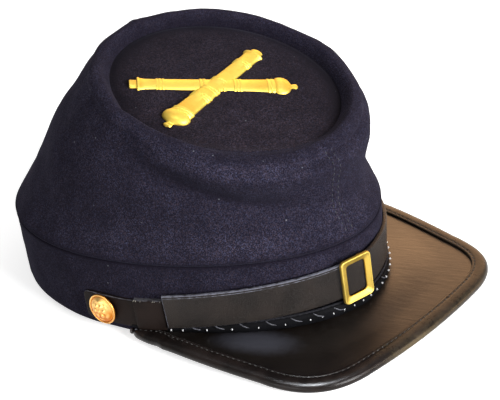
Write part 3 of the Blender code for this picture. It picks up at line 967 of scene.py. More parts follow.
@dataclass
class Crown(SubAssembly):
    """The crown's wall and rolled rim, with its seams in front and behind."""

    rim_radius: float = 5.2
    rim_rise: float = 4.2
    rim_seam: float = 1.0
    rim_dip: float = 2.2
    valley: float = 1.1
    groove: float = 0.9
    # an angle and a width, where the rim sinks softly into the top
    soft_front: Pair = (-35.0, 50.0)
    # an angle, a width and a share, where the top's seam reaches further out
    corner: Triple = (-101.0, 7.0, 0.03)
    rim_folds: Triples = (
        # an angle, how far the fold reaches to each side, and how far the rim rises there
        (-100.0, 13.0, 0.9), (-72.0, 16.0, 0.5), (-150.0, 9.0, -0.8), (169.0, 6.0, -1.7),
        (148.0, 10.0, 1.1), (66.0, 9.0, -0.7),
    )
    seam_turn: float = 1.0
    stations: int = 250
    wall_rows: int = 84
    seam_angles: Pair = (-3.0, 180.0)
    seam_radius: float = 78.0
    seam_half: float = 2.3
    seam_ridge: float = 0.35
    seam_edge: float = 1.2
    stitch_dip: float = 0.35
    stitching: Stitching = Stitching(3.0, 1.7, 0.2, 0.12, 0.3, (1.0, 3.0))
    wall: Sequence[tuple[float, float, float, float]] = (
        # up the wall, then how far it stands out at the front, the sides and the back
        (0.0, 0.0, 0.0, 0.0), (0.07, -1.3, -1.1, -0.2), (0.16, -3.1, -1.6, 0.4),
        (0.27, -4.4, -1.8, 1.4), (0.4, -4.3, -1.1, 2.9), (0.54, -3.0, 0.3, 4.7),
        (0.68, -0.6, 1.3, 3.5), (0.8, 1.7, 1.6, 1.8), (0.91, 2.4, 1.1, 1.2),
        (1.0, 0.0, 0.0, 0.0),
    )
    turned_seam: Pairs = (
        # out and up, from the wall's foot back into the seam
        (-1.9, -0.7), (-1.1, -1.4), (-0.5, -1.28), (-0.14, -0.6),
    )
    folds: Sequence[Fold] = (
        Fold(-40.0, 0.92, 38.0, 0.13, 3.0, -0.002), Fold(-50.0, 0.64, 36.0, 0.13, -4.8, -0.006),
        Fold(-48.0, 0.2, 45.0, 0.16, 1.2), Fold(75.0, 0.9, 28.0, 0.16, 1.2),
        Fold(-112.0, 0.62, 24.0, 0.22, 0.5), Fold(-112.0, 0.2, 26.0, 0.12, -1.0),
        Fold(75.0, 0.5, 30.0, 0.14, -1.6, 0.003), Fold(130.0, 0.4, 28.0, 0.16, 1.6),
        Fold(-140.0, 0.52, 26.0, 0.14, -1.8, -0.004), Fold(-112.0, 0.8, 16.0, 0.12, -0.3),
        Fold(-168.0, 1.0, 7.0, 0.2, -0.9),
    )
    rubbed_level: float = 0.62
    painted_light_and_wear: Sequence[Fold] = (
        # where the nap is painted lighter or darker: nap rubbed light, painted light on the
        # swellings, and painted shade in the hollows and in the rim's valley
        Fold(-42.0, 1.0, 32.0, 0.14, 0.5), Fold(-48.0, 0.16, 42.0, 0.14, 0.3),
        Fold(-90.0, 0.14, 14.0, 0.09, 0.26), Fold(150.0, 1.95, 95.0, 0.24, -0.42),
        Fold(-2.0, 0.22, 10.0, 0.2, 0.22), Fold(-52.0, 0.74, 34.0, 0.1, -0.26, -0.006),
        Fold(-118.0, 0.45, 18.0, 0.3, -0.08), Fold(-101.0, 0.78, 16.0, 0.18, 0.15),
        Fold(-114.0, 1.25, 28.0, 0.25, 0.15), Fold(178.0, 1.35, 32.0, 0.3, -0.24),
        Fold(110.0, 0.95, 60.0, 0.15, 0.14), Fold(170.0, 0.25, 50.0, 0.2, 0.12),
    )
    ripples: Sequence[Ripple] = (Ripple(26.0, 0.28, 3), Ripple(9.0, 0.07, 4))

    def _angles(self) -> Points:
        """Angles of the stations, closer together at the seams."""
        even = linspace(0, 360, self.stations, endpoint=False)
        close = [(seam + linspace(-5, 5, 27)) % 360 for seam in self.seam_angles]
        return np.unique(np.round(concatenate([even, *close]), 4))

    def _rim(self, angles: Points) -> tuple[Points, Points]:
        """The middle of the rim's roll, and the direction out of the top.

        Args:
            angles: Angles round the cap.

        Returns:
            Points and unit vectors, one of each for each angle.
        """
        wide, long = self.form.top_half_width, self.form.top_half_length
        left, back, normal = self.form.top_axes()
        c, s = cos(radians(angles)), sin(radians(angles))
        reach = self.reach(angles)
        crease = self.form.on_top(s * wide * reach, -c * long * reach, 0 * s)
        out = unit(s[:, None] * long * left - c[:, None] * wide * back)
        return crease + out * self.rim_radius + normal * (self.rim_rise - self.rim_radius), out

    def softness(self, angles: Points) -> Points:
        """How far the rim sinks into the top: 1 at the front right, 0 behind."""
        return bell_round(angles, *self.soft_front)

    def reach(self, angles: Points) -> Points:
        """How far out the top's seam lies: a little further at the blunt corner."""
        middle, wide, more = self.corner
        return 1 + more * bell_round(angles, middle, wide)

    def _seam_relief(self, angles: Points) -> Points:
        """The ridge of each seam, with a dip along its two lines of stitches.

        Args:
            angles: Angles of the stations.

        Returns:
            How far the cloth stands out at each.
        """
        total = np.zeros_like(angles)
        for seam in self.seam_angles:
            off = abs((angles - seam + 180) % 360 - 180) * pi / 180 * self.seam_radius
            ridge = smooth((self.seam_half + self.seam_edge - off) / self.seam_edge)
            dip = bump(off - self.seam_half, 0.55)
            total += self.seam_ridge * ridge - self.stitch_dip * dip
        return total

    def _foot(self, angles: Points) -> Points:
        """The wall's lowest points, where it turns into the seam over the band."""
        edge = self.form.place(angles, 0.0, self.form.band_height) * [1, 1, 0]
        rise = self.form.seam_height(edge[:, 1]) + self.form.gap + self.seam_turn
        return edge + UP * rise[:, None]

    def _proud(self, angles: Points, shares: Points) -> Points:
        """How far the wall stands out from a straight line between its foot and the rim.

        Args:
            angles: Angles of the stations.
            shares: Shares of the wall's height.

        Returns:
            The distance for each station and share.
        """
        table = array(self.wall)
        front, side, back = curve_through(table[:, 0], table[:, 1:], shares).T
        c = cos(radians(angles))[:, None]
        proud = side + (front - back) / 2 * c + ((front + back) / 2 - side) * c * c
        for fold in self.folds:
            proud = proud + fold.at(angles[:, None], shares[None, :])
        return proud

    def outer(self, angles: Points) -> tuple[Points, Points]:
        """The crown's outer face.

        Args:
            angles: Angles of the stations.

        Returns:
            Points as stations by rows by three, and each row's level: 0 to 1 up the wall,
            1.5 on top of the rim and 2 at the seam inside it.
        """
        roll, out = self._rim(angles)
        normal = self.form.top_axes()[2]
        low = self._foot(angles)
        line = roll + out * self.rim_radius - low
        phi = radians(angles)
        away = stack([sin(phi), -cos(phi), 0 * phi], -1)
        away = unit(away - line * ((away * line).sum(-1) / (line * line).sum(-1))[:, None])
        away, roll, out = away[:, None], roll[:, None], out[:, None]
        soft = self.softness(angles)[:, None]
        shares = linspace(0, 1, self.wall_rows)
        proud = self._proud(angles, shares)
        wall = low[:, None] + line[:, None] * shares[None, :, None] + away * proud[..., None]
        rise = self.rim_radius - self.rim_dip * soft
        for middle, wide, height in self.rim_folds:
            rise = rise + height * bell_round(angles, middle, wide)[:, None]
        turns = linspace(0, pi / 2, 13)[1:]
        over = roll + out * (self.rim_radius * cos(turns))[None, :, None]
        over = over + normal * (rise * sin(turns))[..., None]
        over = over + away * (proud[:, -1:] * cos(turns) ** 1.3)[..., None]
        inwards = linspace(0, 1, 15)[None, 1:]
        sunk = (self.valley + self.groove + 0.1) * (1 - soft)
        low_seam = self.rim_seam * soft - sunk - self.rim_rise + self.rim_radius
        fall = rise + (low_seam - rise) * (soft * smooth(inwards) + (1 - soft) * inwards**1.6)
        into = roll - out * (self.rim_radius * inwards)[..., None] + normal * fall[..., None]
        lips = [into[:, -1:] - normal * depth - out * 0.05 for depth in (0.45, 1.6)]
        outward = self.form.away(angles)
        seam = [(low + outward * o + UP * u)[:, None] for o, u in self.turned_seam]
        level = concatenate([
            zeros(len(seam)), shares, 1 + turns / pi, 1.5 + inwards[0] / 2,
            [2.1] * len(lips),
        ])
        return concatenate([*seam, wall, over, into, *lips], 1), level

    def relief(self, grid: Points, angles: Points, level: Points) -> Points:
        """The outer face with its unevenness and its seams' ridges.

        Args:
            grid: The outer face.
            angles: Angles of its stations.
            level: Its rows' levels.

        Returns:
            The face's points, moved.
        """
        free = smooth(level / 0.05) * smooth((1.9 - level) / 0.4)
        ridge = smooth(level / 0.03) * smooth((1.75 - level) / 0.3)
        rise = sum(ripple.at(grid) for ripple in self.ripples) * free
        rise = rise + self._seam_relief(angles)[:, None] * ridge
        return grid + grid_normals(grid) * rise[..., None]

    def rubbed(self, angles: Points, level: Points) -> Points:
        """How light the nap is painted: nap rubbed light, painted light where the cloth stands
        out, and painted shade in its hollows and seam.

        Args:
            angles: Angles of the stations.
            level: The rows' levels.

        Returns:
            The mask for each station and row.
        """
        total = np.full((len(angles), len(level)), self.rubbed_level)
        for fold in self.painted_light_and_wear:
            total += fold.at(angles[:, None], level[None, :])
        # painted shade in the seam at the wall's foot
        total -= 0.3 * bump(level, 0.02)[None, :]
        return clip(total, 0.15, 1.0)

    def build(self) -> list[Piece]:
        """Builds and dresses the crown and its seams' stitches."""
        angles = self._angles()
        grid, level = self.outer(angles)
        grid = self.relief(grid, angles, level)
        inner = grid - grid_normals(grid) * self.form.cloth
        loops = concatenate([grid, inner[:, len(self.turned_seam)::2][:, ::-1]], 1)
        rubbed = np.full(loops.shape[:2], 0.5)
        rubbed[:, :grid.shape[1]] = self.rubbed(angles, level)
        crown = self.shop.shape("crown_cloth", loops, around=True, rubbed=rubbed)
        return [self.shop.dress(crown, Look.WOOL, ("crown",), 75), self._stitches()]

    def _stitches(self) -> Piece:
        """The two lines of stitches beside each seam."""
        paths: list[Points] = []
        beside = degrees(self.seam_half / self.seam_radius)
        for middle in (seam + side.value * beside for seam in self.seam_angles for side in Side):
            grid, level = self.outer(array([middle - 0.2, middle, middle + 0.2]) % 360)
            normal = unit(cross(unit(grid[2] - grid[0]), gradient(grid[1], axis=0)))
            seen = (level > 0.04) & (level < 1.35)
            both = resample(concatenate([grid[1], normal], 1)[seen], 600)
            paths += self.stitching.along(both[:, :3], both[:, 3:])
        radius = self.stitching.radius
        return self.shop.cords("crown_seam_stitches", paths, radius, Look.THREAD, 6)


@dataclass
class CrownTop(SubAssembly):
    """The round top, sunk inside the rim."""

    crown: Crown
    seam_lift: float = 1.3
    lift_width: float = 7.0
    valley_width: float = 7.5
    groove_width: float = 2.2
    crown_height: float = 0.5
    rings: int = 46
    stations: int = 200
    painted_rim_shade: Triples = (
        # an angle, how far it reaches to each side, and how much painted shade darkens the nap
        # towards the rim
        (178.0, 60.0, 0.42), (50.0, 45.0, 0.4),
    )
    ripples: Sequence[Ripple] = (Ripple(30.0, 0.22, 11), Ripple(10.0, 0.06, 12))
    margin: float = 0.3

    def build(self) -> Piece:
        """Builds and dresses the top: nearly flat, drawn up a little to the rim."""
        share = sin(linspace(0, pi / 2, self.rings))[None, :]
        turn = full_turn(self.stations)[:, None]
        wide = self.form.top_half_width + self.margin
        long = self.form.top_half_length + self.margin
        reach = share * self.crown.reach(degrees(turn))
        across, back = reach * sin(turn) * wide, -reach * cos(turn) * long
        inset = (1 - share) * (wide + long) / 2
        soft = self.crown.softness(degrees(turn))
        up = self.crown_height * (1 - share**2)
        up = up + self.seam_lift * soft * clip(1 - inset / self.lift_width, 0, 1) ** 2
        up = up - self.crown.valley * (1 - soft) * bump(inset, self.valley_width)
        up = up - self.crown.groove * (1 - soft) * bump(inset, self.groove_width)
        flat = stack(np.broadcast_arrays(across, back, 0 * across), -1)
        up = up + sum(ripple.at(flat) for ripple in self.ripples) * smooth(inset / 6)
        grid = self.form.on_top(across, back, up)
        # lighter towards the rim in front, and painted shade in the valley inside the rim behind
        # and at the sides
        rubbed = 0.6 + 0.12 * soft * share**3 - 0.3 * (1 - soft) * bump(inset - 1.5, 5.5)
        for middle, width, amount in self.painted_rim_shade:
            rubbed = rubbed - amount * share**2 * bell_round(degrees(turn), middle, width)
        thick = self.form.cloth - 0.2
        top = self.shop.shape("crown_top_cloth", grid, True, thick, rubbed=rubbed)
        return self.shop.dress(top, Look.TOP_WOOL, ("crown_top",), 75)


@dataclass
class Band(SubAssembly):
    """The upright band, hemmed below and turned into the seam above."""

    stations: int = 300
    rows: int = 26
    hem: float = 1.1
    sag: Pairs = (
        # angles to each side from the front, and how far the hem hangs there
        (0.0, 2.4), (10.0, 2.25), (20.0, 1.9), (30.0, 1.4), (40.0, 0.8), (50.0, 0.15),
        (58.0, 0.0), (70.0, 0.0), (73.0, 1.2), (76.0, 3.4), (82.0, 2.6), (88.0, 2.5),
        (95.0, 2.0), (104.0, 1.0), (115.0, 0.3), (125.0, 0.0), (180.0, 0.0),
    )
    ripples: Sequence[Ripple] = (Ripple(24.0, 0.16, 21), Ripple(8.0, 0.05, 22))
    turned_seam: Pairs = (
        # out and up, from the band's top back into the seam
        (-0.14, -0.22), (-0.5, -0.06), (-1.1, -0.05), (-1.9, -0.6),
    )

    def _section(self) -> Points:
        """The band's section.

        Returns:
            Rows of how far out a point lies, how far up, and its share of the band's height.
        """
        hem = self.hem
        turn = linspace(pi, 2 * pi, 9)
        section = [(-hem + hem * cos(t), hem + hem * sin(t), 0.0) for t in turn]
        face = linspace(0, 1, self.rows)[1:]
        section += [(0.0, hem * (1 - share) - 0.5 * share, share) for share in face]
        section += [(out, up, 1.0) for out, up in self.turned_seam]
        back = linspace(1, 0, 9)[:-1]
        section += [(-2 * hem, hem * (1 - share) - 1.2 * share, share) for share in back]
        return array(section)

    def build(self) -> Piece:
        """Builds and dresses the band."""
        form = self.form
        angles = linspace(0, 360, self.stations, endpoint=False)
        top = form.seam_height(form.place(angles, 0 * angles, 0 * angles)[:, 1])
        out, up, share = self._section().T
        turned = abs((angles + 180) % 360 - 180)
        sag = interp(turned, *array(self.sag).T)[:, None]
        height = up + share * top[:, None] - sag * (1 - share) ** 4
        loops = form.place(angles[:, None], out[None, :], height)
        face = (out > -0.05) * smooth((1 - share) / 0.08) * smooth(share / 0.05)
        rise = sum(ripple.at(loops) for ripple in self.ripples) * face
        loops = loops + form.away(angles)[:, None] * rise[..., None]
        front = bell_round(angles, -15, 60)[:, None]
        # painted light near the top in front, and painted shade right at the top, in the seam
        rubbed = 0.475 + 0.14 * front * bump(share - 0.86, 0.2) - 0.4 * bump(share - 1.0, 0.03)
        band = self.shop.shape("band_cloth", loops, around=True, rubbed=rubbed)
        return self.shop.dress(band, Look.WOOL, ("band",), 75)


# --- the visor ---


@dataclass
class Visor(SubAssembly):
    """The leather visor, its rolled binding and the binding's stitches."""

    thick: float = 2.2
    under: float = 1.8
    drop: float = 1.0
    level_share: float = 0.6
    end: float = 75.0
    side: Pair = (83.6, -34.4)
    corner: Pair = (71.8, -136.4)
    front: float = -145.0
    setback: float = 30.3
    bow: float = 1.7
    side_turn: Pair = (1.5, 12.0)
    rise: float = 1.6
    rise_run: float = 25.0
    fall: float = 0.042
    fall_curve: float = 3.68
    camber: float = 2.83
    binding_width: float = 7.8
    binding_end_width: float = 3.0
    binding_end_out: float = 3.7
    binding_widen: float = 14.0
    binding_edge: float = 1.9
    binding_end_scale: float = 0.85
    flare: float = 1.0
    far_hollow: float = 0.7
    slot_half: float = 1.35
    slot_end: float = 1.5
    # where a soft bluish sheen is painted on the visor, which also roughens it: a middle in plan,
    # a length and a width, and how much
    wear_and_painted_light_bloom: tuple[float, float, float, float, float] = (-56.0, -87.0, 27.0, 11.5, 0.95)
    painted_sheen_way: Pair = (0.42, -0.907)
    stitch_inset: float = 6.35
    stitch_half: float = 2.12
    stitching: Stitching = Stitching(3.0, 1.2, 0.3, 0.16, 0.4, (4.0, 4.0))
    roll: Pairs = (
        # inwards from the outer edge as a share of the width, and half the height
        (1.0, 1.4), (1.0, 1.95), (0.975, 2.2), (0.93, 2.34), (0.87, 2.34),
        (0.83, 2.2), (0.81, 2.14), (0.79, 2.22), (0.74, 2.4), (0.62, 2.48),
        (0.5, 2.5), (0.4, 2.48), (0.3, 2.38), (0.21, 2.2), (0.13, 1.88),
        (0.07, 1.45), (0.03, 0.98), (0.008, 0.5), (0.0, 0.0),
    )

    def height(self, points: Points) -> Points:
        """The visor's top face.

        Args:
            points: Places in plan.

        Returns:
            How high it lies at each.
        """
        forward = self.side[1] - points[..., 1]
        fall = self.fall * forward + self.fall_curve * (forward / 100) ** 2
        camber = self.camber * ((points[..., 0] / 100) ** 2 - (self.side[0] / 100) ** 2)
        rise = self.rise * smooth(forward / self.rise_run)
        return rise - self.drop - maximum(fall + camber, 0.0)

    def _front_line(self, x: Points) -> Points:
        """The front edge's y at places x."""
        return self.front + (self.corner[1] - self.front) * (x / self.corner[0]) ** 2

    @staticmethod
    def _turn(start: Points, bend: Points, end: Points, count: int) -> Points:
        """A soft turn from one point to another, pulled towards where its sides meet."""
        t = linspace(0, 1, count)[:, None]
        return (1 - t) ** 2 * start + 2 * t * (1 - t) * bend + t * t * end

    def _left_half(self) -> Points:
        """The outer edge's left half in plan, from its tip to the middle of its front."""
        side, corner = array(self.side), array(self.corner)
        reach = np.linalg.norm(corner - side)
        along = (corner - side) / reach
        bow = array([-along[1], along[0]])
        length = reach - self.setback
        turn_from, turn_to = self.side_turn
        tip = self.form.place(self.end, self.binding_end_out, 0.0)[:2]
        parts = [self._turn(tip, side + along * turn_from, side + along * turn_to, 12)]
        share = (turn_to + (length - turn_to) * linspace(0, 1, 14)[1:, None]) / length
        parts.append(side + along * length * share + bow * 4 * self.bow * share * (1 - share))
        x_end = self.corner[0] - self.setback
        end = array([x_end, self._front_line(x_end)])
        slope = 2 * (self.corner[1] - self.front) * x_end / self.corner[0] ** 2
        last = parts[-1][-1]
        run = (end[1] - last[1] - slope * (end[0] - last[0])) / (along[1] - slope * along[0])
        parts.append(self._turn(last, last + along * run, end, 24)[1:])
        x = x_end * (1 - linspace(0, 1, 12)[1:])
        parts.append(stack([x, self._front_line(x)], -1))
        return concatenate(parts)

    def outline(self, count: int) -> tuple[Points, Points]:
        """The visor's outer edge in plan, from the wearer's left to the right.

        Args:
            count: How many points to give it.

        Returns:
            The points, evenly spaced, and the direction inwards at each.
        """
        half = self._left_half()
        line = resample(concatenate([half, half[-2::-1] * [-1, 1]]), count)
        far = (line[:, 0] > 0) * smooth(line[:, 0] / 60)
        flare = self.flare * smooth((-112 - line[:, 1]) / 25)
        line[:, 0] += far * (flare - self.far_hollow * bump(line[:, 1] + 92, 28))
        way = unit(gradient(line, axis=0))
        kernel = ones(5) / 5
        for k in range(2):
            way[2:-2, k] = np.convolve(way[:, k], kernel, "valid")
        way = unit(way)
        return line, stack([way[:, 1], -way[:, 0]], -1)

    def _leather(self) -> Piece:
        """The visor's sheet, from under the band out into the binding."""
        rows, columns = 44, 170
        line, inwards = self.outline(260)
        edge = resample(line + inwards * self.binding_edge, columns)
        across = linspace(0, 1, columns)
        near = self.form.place(self.end * (1 - 2 * across), -self.under, 0.0)[:, :2]
        share = linspace(0, 1, rows)[:, None, None]
        plan = near + (edge - near) * share
        level = smooth(share[..., 0] / self.level_share)
        up = self.height(plan) * level - self.drop * (1 - level)
        grid = concatenate([plan, up[..., None]], -1)
        x, y, long, wide, amount = self.wear_and_painted_light_bloom
        x, y = plan[..., 0] - x, plan[..., 1] - y
        way_x, way_y = self.painted_sheen_way
        # a soft bluish sheen painted on the visor through its wear mask
        wear_and_painted_light_bloom = bump(x * way_x + y * way_y, long) * bump(y * way_x - x * way_y, wide)
        sheet = self.shop.shape("visor_leather", grid, thick=self.thick, edge=amount * wear_and_painted_light_bloom)
        return self.shop.dress(sheet, Look.VISOR, ("visor",))

    def _roll_size(self, line: Points) -> tuple[Points, Points]:
        """How large the binding is along the edge: slimmer towards its two ends.

        Args:
            line: The edge's points in plan.

        Returns:
            Its width, and how tall it is against the full roll, at each point.
        """
        at = lengths(line)
        full = smooth(minimum(at, at[-1] - at) / self.binding_widen)
        width = self.binding_end_width + (self.binding_width - self.binding_end_width) * full
        return width, self.binding_end_scale + (1 - self.binding_end_scale) * full

    def _on_roll(
        self, line: Points, inwards: Points, width: Points, inset: Points, half: Points
    ) -> Points:
        """Points on the binding.

        Args:
            line: The edge's points in plan.
            inwards: The direction inwards at each.
            width: The binding's width at each.
            inset: How far in from the outer edge, for each section and point.
            half: How high over the roll's middle, for each section and point.

        Returns:
            Points as sections by points by three.
        """
        rim = self.height(line)
        slope = (self.height(line + inwards * width[:, None]) - rim) / width
        plan = line[:, None] + inwards[:, None] * inset[..., None]
        up = (rim - self.thick / 2)[:, None] + slope[:, None] * inset + half
        return concatenate([plan, up[..., None]], -1)

    def _binding(self) -> Piece:
        """The leather rolled over the visor's edge."""
        line, inwards = self.outline(330)
        width, tall = self._roll_size(line)
        share, half = array(self.roll).T
        above = stack([share * width[:, None], half * tall[:, None]], -1)
        below = above[:, -2::-1] * [1, -1]
        slot = stack([0 * width + self.slot_end, 0 * width - self.slot_half], -1)[:, None]
        section = concatenate([above, below, slot, slot * [1, -1]], 1)
        rounding = ones((len(line), 1))
        rounding[:4, 0] = rounding[:-5:-1, 0] = (0.45, 0.75, 0.92, 0.99)
        middle = width[:, None] / 2
        inset = middle + (section[..., 0] - middle) * rounding
        loops = self._on_roll(line, inwards, width, inset, section[..., 1] * rounding)
        edge = self._binding_wear_and_reflection(line, share)
        binding = self.shop.shape("visor_binding_leather", loops, edge=edge)
        return self.shop.dress(binding, Look.BINDING, ("visor_binding",), 55)

    @staticmethod
    def _binding_wear_and_reflection(line: Points, share: Points) -> Points:
        """How far the binding is rubbed along its rim, and where a warm reflection is painted on
        its top in front and at the left.

        Args:
            line: The edge's points in plan.
            share: How far in each point of the roll's upper half lies.

        Returns:
            The mask for each section and point.
        """
        x, y = line.T
        in_front = smooth((x + 45) / 50) * smooth((-108 - y) / 15)
        rim = (0.36 + 0.64 * in_front) * (1 - 0.5 * smooth((x + 25) / 40))
        to_left = smooth((x - 5) / 60)
        ahead = smooth((x + 62) / 40) * smooth((-104 - y) / 12)
        # a warm reflection painted on the roll's top, in front and on the wearer's left
        top = 0.48 * maximum(to_left, ahead)
        section = concatenate([bump(share, 0.1), ones(len(share) - 1), [0.0, 0.0]])
        return maximum(rim[:, None] * section, top[:, None])

    def _stitches(self) -> Piece:
        """The stitches through the binding, above and below."""
        line, inwards = self.outline(1200)
        width, tall = self._roll_size(line)
        inset = (width * self.stitch_inset / self.binding_width)[:, None]
        paths: list[Points] = []
        for side in (1, -1):
            half = side * self.stitch_half * tall[:, None]
            row = self._on_roll(line, inwards, width, inset, half)[:, 0]
            paths += self.stitching.along(row, side * UP)
        radius = self.stitching.radius
        return self.shop.cords("visor_binding_stitches", paths, radius, Look.WAX_THREAD, 6)

    def build(self) -> list[Piece]:
        """Builds and dresses the visor's pieces."""
        return [self._leather(), self._binding(), self._stitches()]


@dataclass
class Lacing(SubAssembly):
    """The whipped cord that joins the visor to the band, over a leather welt."""

    strap: "ChinStrap"
    reach: float = 75.0
    first: float = -64.0
    last: float = 66.0
    welt_radius: float = 2.5
    welt_least: float = 0.9
    welt_out: float = 1.5
    welt_foot: float = 0.4
    visor_line: Pairs = (
        # angles to each side from the front, and how high the visor lies there
        (0.0, -2.6), (10.0, -2.45), (20.0, -2.1), (30.0, -1.6), (40.0, -1.0), (50.0, -0.3),
        (58.0, 0.2), (75.0, 0.4),
    )
    start: float = 1.15
    pitch: float = 5.96
    uneven: Triples = (
        # a knot's number, how many to each side are shifted with it, and how far
        (10.0, 4.0, 1.4), (18.0, 2.0, -0.7),
    )
    strokes: Sequence[int] = (2, 4, 6, 8, 10, 12, 14, 20)
    # from which angle and over how many the lacing lies closer to the band, and how much
    draw_in: Triple = (-10.0, 22.0, 0.9)
    knot_place: Pair = (3.35, 1.35)
    # an angle and a width, where the knots lie higher, and how much
    knot_lift: Triple = (-50.0, 20.0, 1.0)
    knot_radius: float = 0.52
    knot_stand: float = 0.28
    plain_until: float = -23.0
    stroke_lean: float = 5.6
    # how far the first strokes are shifted, and up to which of them, over how many
    stroke_shift: Triple = (2.9, 16.0, 8.0)
    stroke_radius: float = 0.3
    runner_radius: float = 0.75
    runner_out: float = 2.35
    runner_up: float = 5.0
    twist_length: float = 5.2
    end_knots: Sequence[tuple[float, float, float, float]] = (
        # an angle, how far out and up, and the knot's radius
        (75.5, 1.5, -2.1, 1.5), (73.9, 2.3, -0.7, 0.9),
    )
    stroke: Pairs = (
        # out and up over the welt, from under the strap down to the knot
        (3.0, 4.3), (3.4, 3.9), (3.7, 3.3), (3.85, 2.7), (3.8, 2.2), (3.6, 1.75), (3.35, 1.35),
    )

    def _strap_foot(self, angles: Points) -> Points:
        """How high the strap's lower edge lies over the band's."""
        return self.strap.height(angles) - self.strap.outer_width / 2

    def _welt(self) -> Piece:
        """The rounded strip of leather in the corner between band and visor."""
        angles = linspace(-self.reach, self.reach, 240)[:, None]
        radius = (self._strap_foot(angles) - self.welt_foot) / 2
        drawn = self.drawn(angles)
        radius = clip(radius, self.welt_least, self.welt_radius)
        radius = radius * (1 - 0.5 * drawn / self.draw_in[2])
        turn = full_turn(16)[None]
        out = self.welt_out - drawn / 2 + cos(turn) * radius
        middle = self.welt_foot + radius
        below = middle - self._visor_height(angles)
        up = middle + sin(turn) * np.where(sin(turn) < 0, below, radius)
        loops = self.form.place(angles, out, up)
        welt = self.shop.shape("visor_welt", loops, edge=zeros(loops.shape[:2]))
        return self.shop.dress(welt, Look.WELT)

    def _visor_height(self, angle: Points) -> Points:
        """How high the visor lies under the welt."""
        return interp(abs(angle), *array(self.visor_line).T)

    def _fuller(self, angle: Points) -> Points:
        """How much further out the welt's lower flank stands where the visor lies low."""
        return 0.1 * (self.welt_foot - self._visor_height(angle))

    def drawn(self, angle: Points) -> Points:
        """How much closer to the band the lacing lies on the wearer's left."""
        start, run, amount = self.draw_in
        return amount * smooth((asarray(angle) - start) / run)

    def _raised(self, angle: Points) -> Points:
        """How much higher the knots lie at the front right."""
        middle, wide, lift = self.knot_lift
        return lift * bump(angle - middle, wide)

    def _line(self) -> tuple[Points, Points]:
        """Angles round the band's front, and the length of lacing up to each."""
        fine = linspace(self.first, self.last, 1500)
        return fine, lengths(self.form.place(fine, self.knot_place[0], 0 * fine))

    def _stations(self, length: float) -> Points:
        """How far along the lacing each of its knots lies.

        Args:
            length: The whole lacing's length.

        Returns:
            The knots' places along it.
        """
        at = arange(self.start, length - 1.0, self.pitch)
        count = arange(len(at))
        return at + sum(shift * bump(count - knot, wide) for knot, wide, shift in self.uneven)

    def _knots(self) -> Piece:
        """The small knots where the cord goes into the visor, made pale as painted glints."""
        fine, length = self._line()
        out, up = self.knot_place
        paths = []
        for count, start in enumerate(self._stations(length[-1])):
            at = start + linspace(-0.6, 0.6, 5) * self.knot_radius
            angles = interp(at, length, fine)
            if count and not count % 2 and angles[2] < self.plain_until:
                continue
            stand = 0.1 + self.knot_stand * smooth((self.plain_until - angles) / 4)
            far = out + stand + self._fuller(angles) - self.drawn(angles)
            paths.append(self.form.place(angles, far, up + 0.1 + self._raised(angles)))
        return self.shop.cords("visor_lacing_knots", paths, self.knot_radius, Look.PAINTED_GLINT_KNOTS)

    def _cord(self) -> Piece:
        """The cord's slanted strokes, one to every second knot."""
        fine, length = self._line()
        knots = arange(len(self.stroke))
        share = linspace(0, 1, 13)
        profile = curve_through(knots, self.stroke, share * knots[-1])
        paths = []
        shift, last, run = self.stroke_shift
        for count, end in zip(self.strokes, self._stations(length[-1])[list(self.strokes)]):
            end = end + shift * smooth((last - count) / run)
            at = end - self.stroke_lean * (1 - share**1.3)
            angles = interp(at, length, fine)
            out = profile[:, 0] + self._fuller(angles) - self.drawn(angles)
            paths.append(self.form.place(angles, out, profile[:, 1] + self._raised(angles)))
        return self.shop.cords("visor_lacing_cord", paths, self.stroke_radius, Look.CORD)

    def _runner(self) -> Piece:
        """The cord's long run on top of the welt, twisted from two strands."""
        fine = linspace(self.first + 4, self.last, 700)[:, None]
        length = lengths(self.form.place(fine[:, 0], 0.0, 0.0))[:, None]
        turn = full_turn(12)
        twist = length * 2 * pi / self.twist_length
        radius = self.runner_radius * (0.78 + 0.3 * abs(cos(turn + twist)))
        under = self._strap_foot(fine) - self.runner_radius - 0.2
        up = minimum(under, self.runner_up) + sin(turn) * radius
        out = self.runner_out - self.drawn(fine) + cos(turn) * radius
        piece = self.shop.shape("visor_lacing_runner", self.form.place(fine, out, up))
        return self.shop.dress(piece, Look.DARK_CORD)

    def _end_knots(self) -> list[Piece]:
        """The two knots that end the cord at each of the visor's tips."""
        pieces = []
        looks = (("big", Look.BROWN_KNOT), ("small", Look.CORD))
        for (angle, out, up, radius), (name, look) in zip(self.end_knots, looks):
            spots = linspace(-0.45, 0.45, 7) * radius / 1.4
            paths = [self.form.place(angle * side.value + spots, out, up) for side in Side]
            pieces.append(self.shop.cords("visor_tip_knots_" + name, paths, radius, look, 12))
        return pieces

    def build(self) -> list[Piece]:
        """Builds and dresses the welt and the cord."""
        return [self._welt(), self._cord(), self._knots(), self._runner(), *self._end_knots()]


# --- the chin strap ---


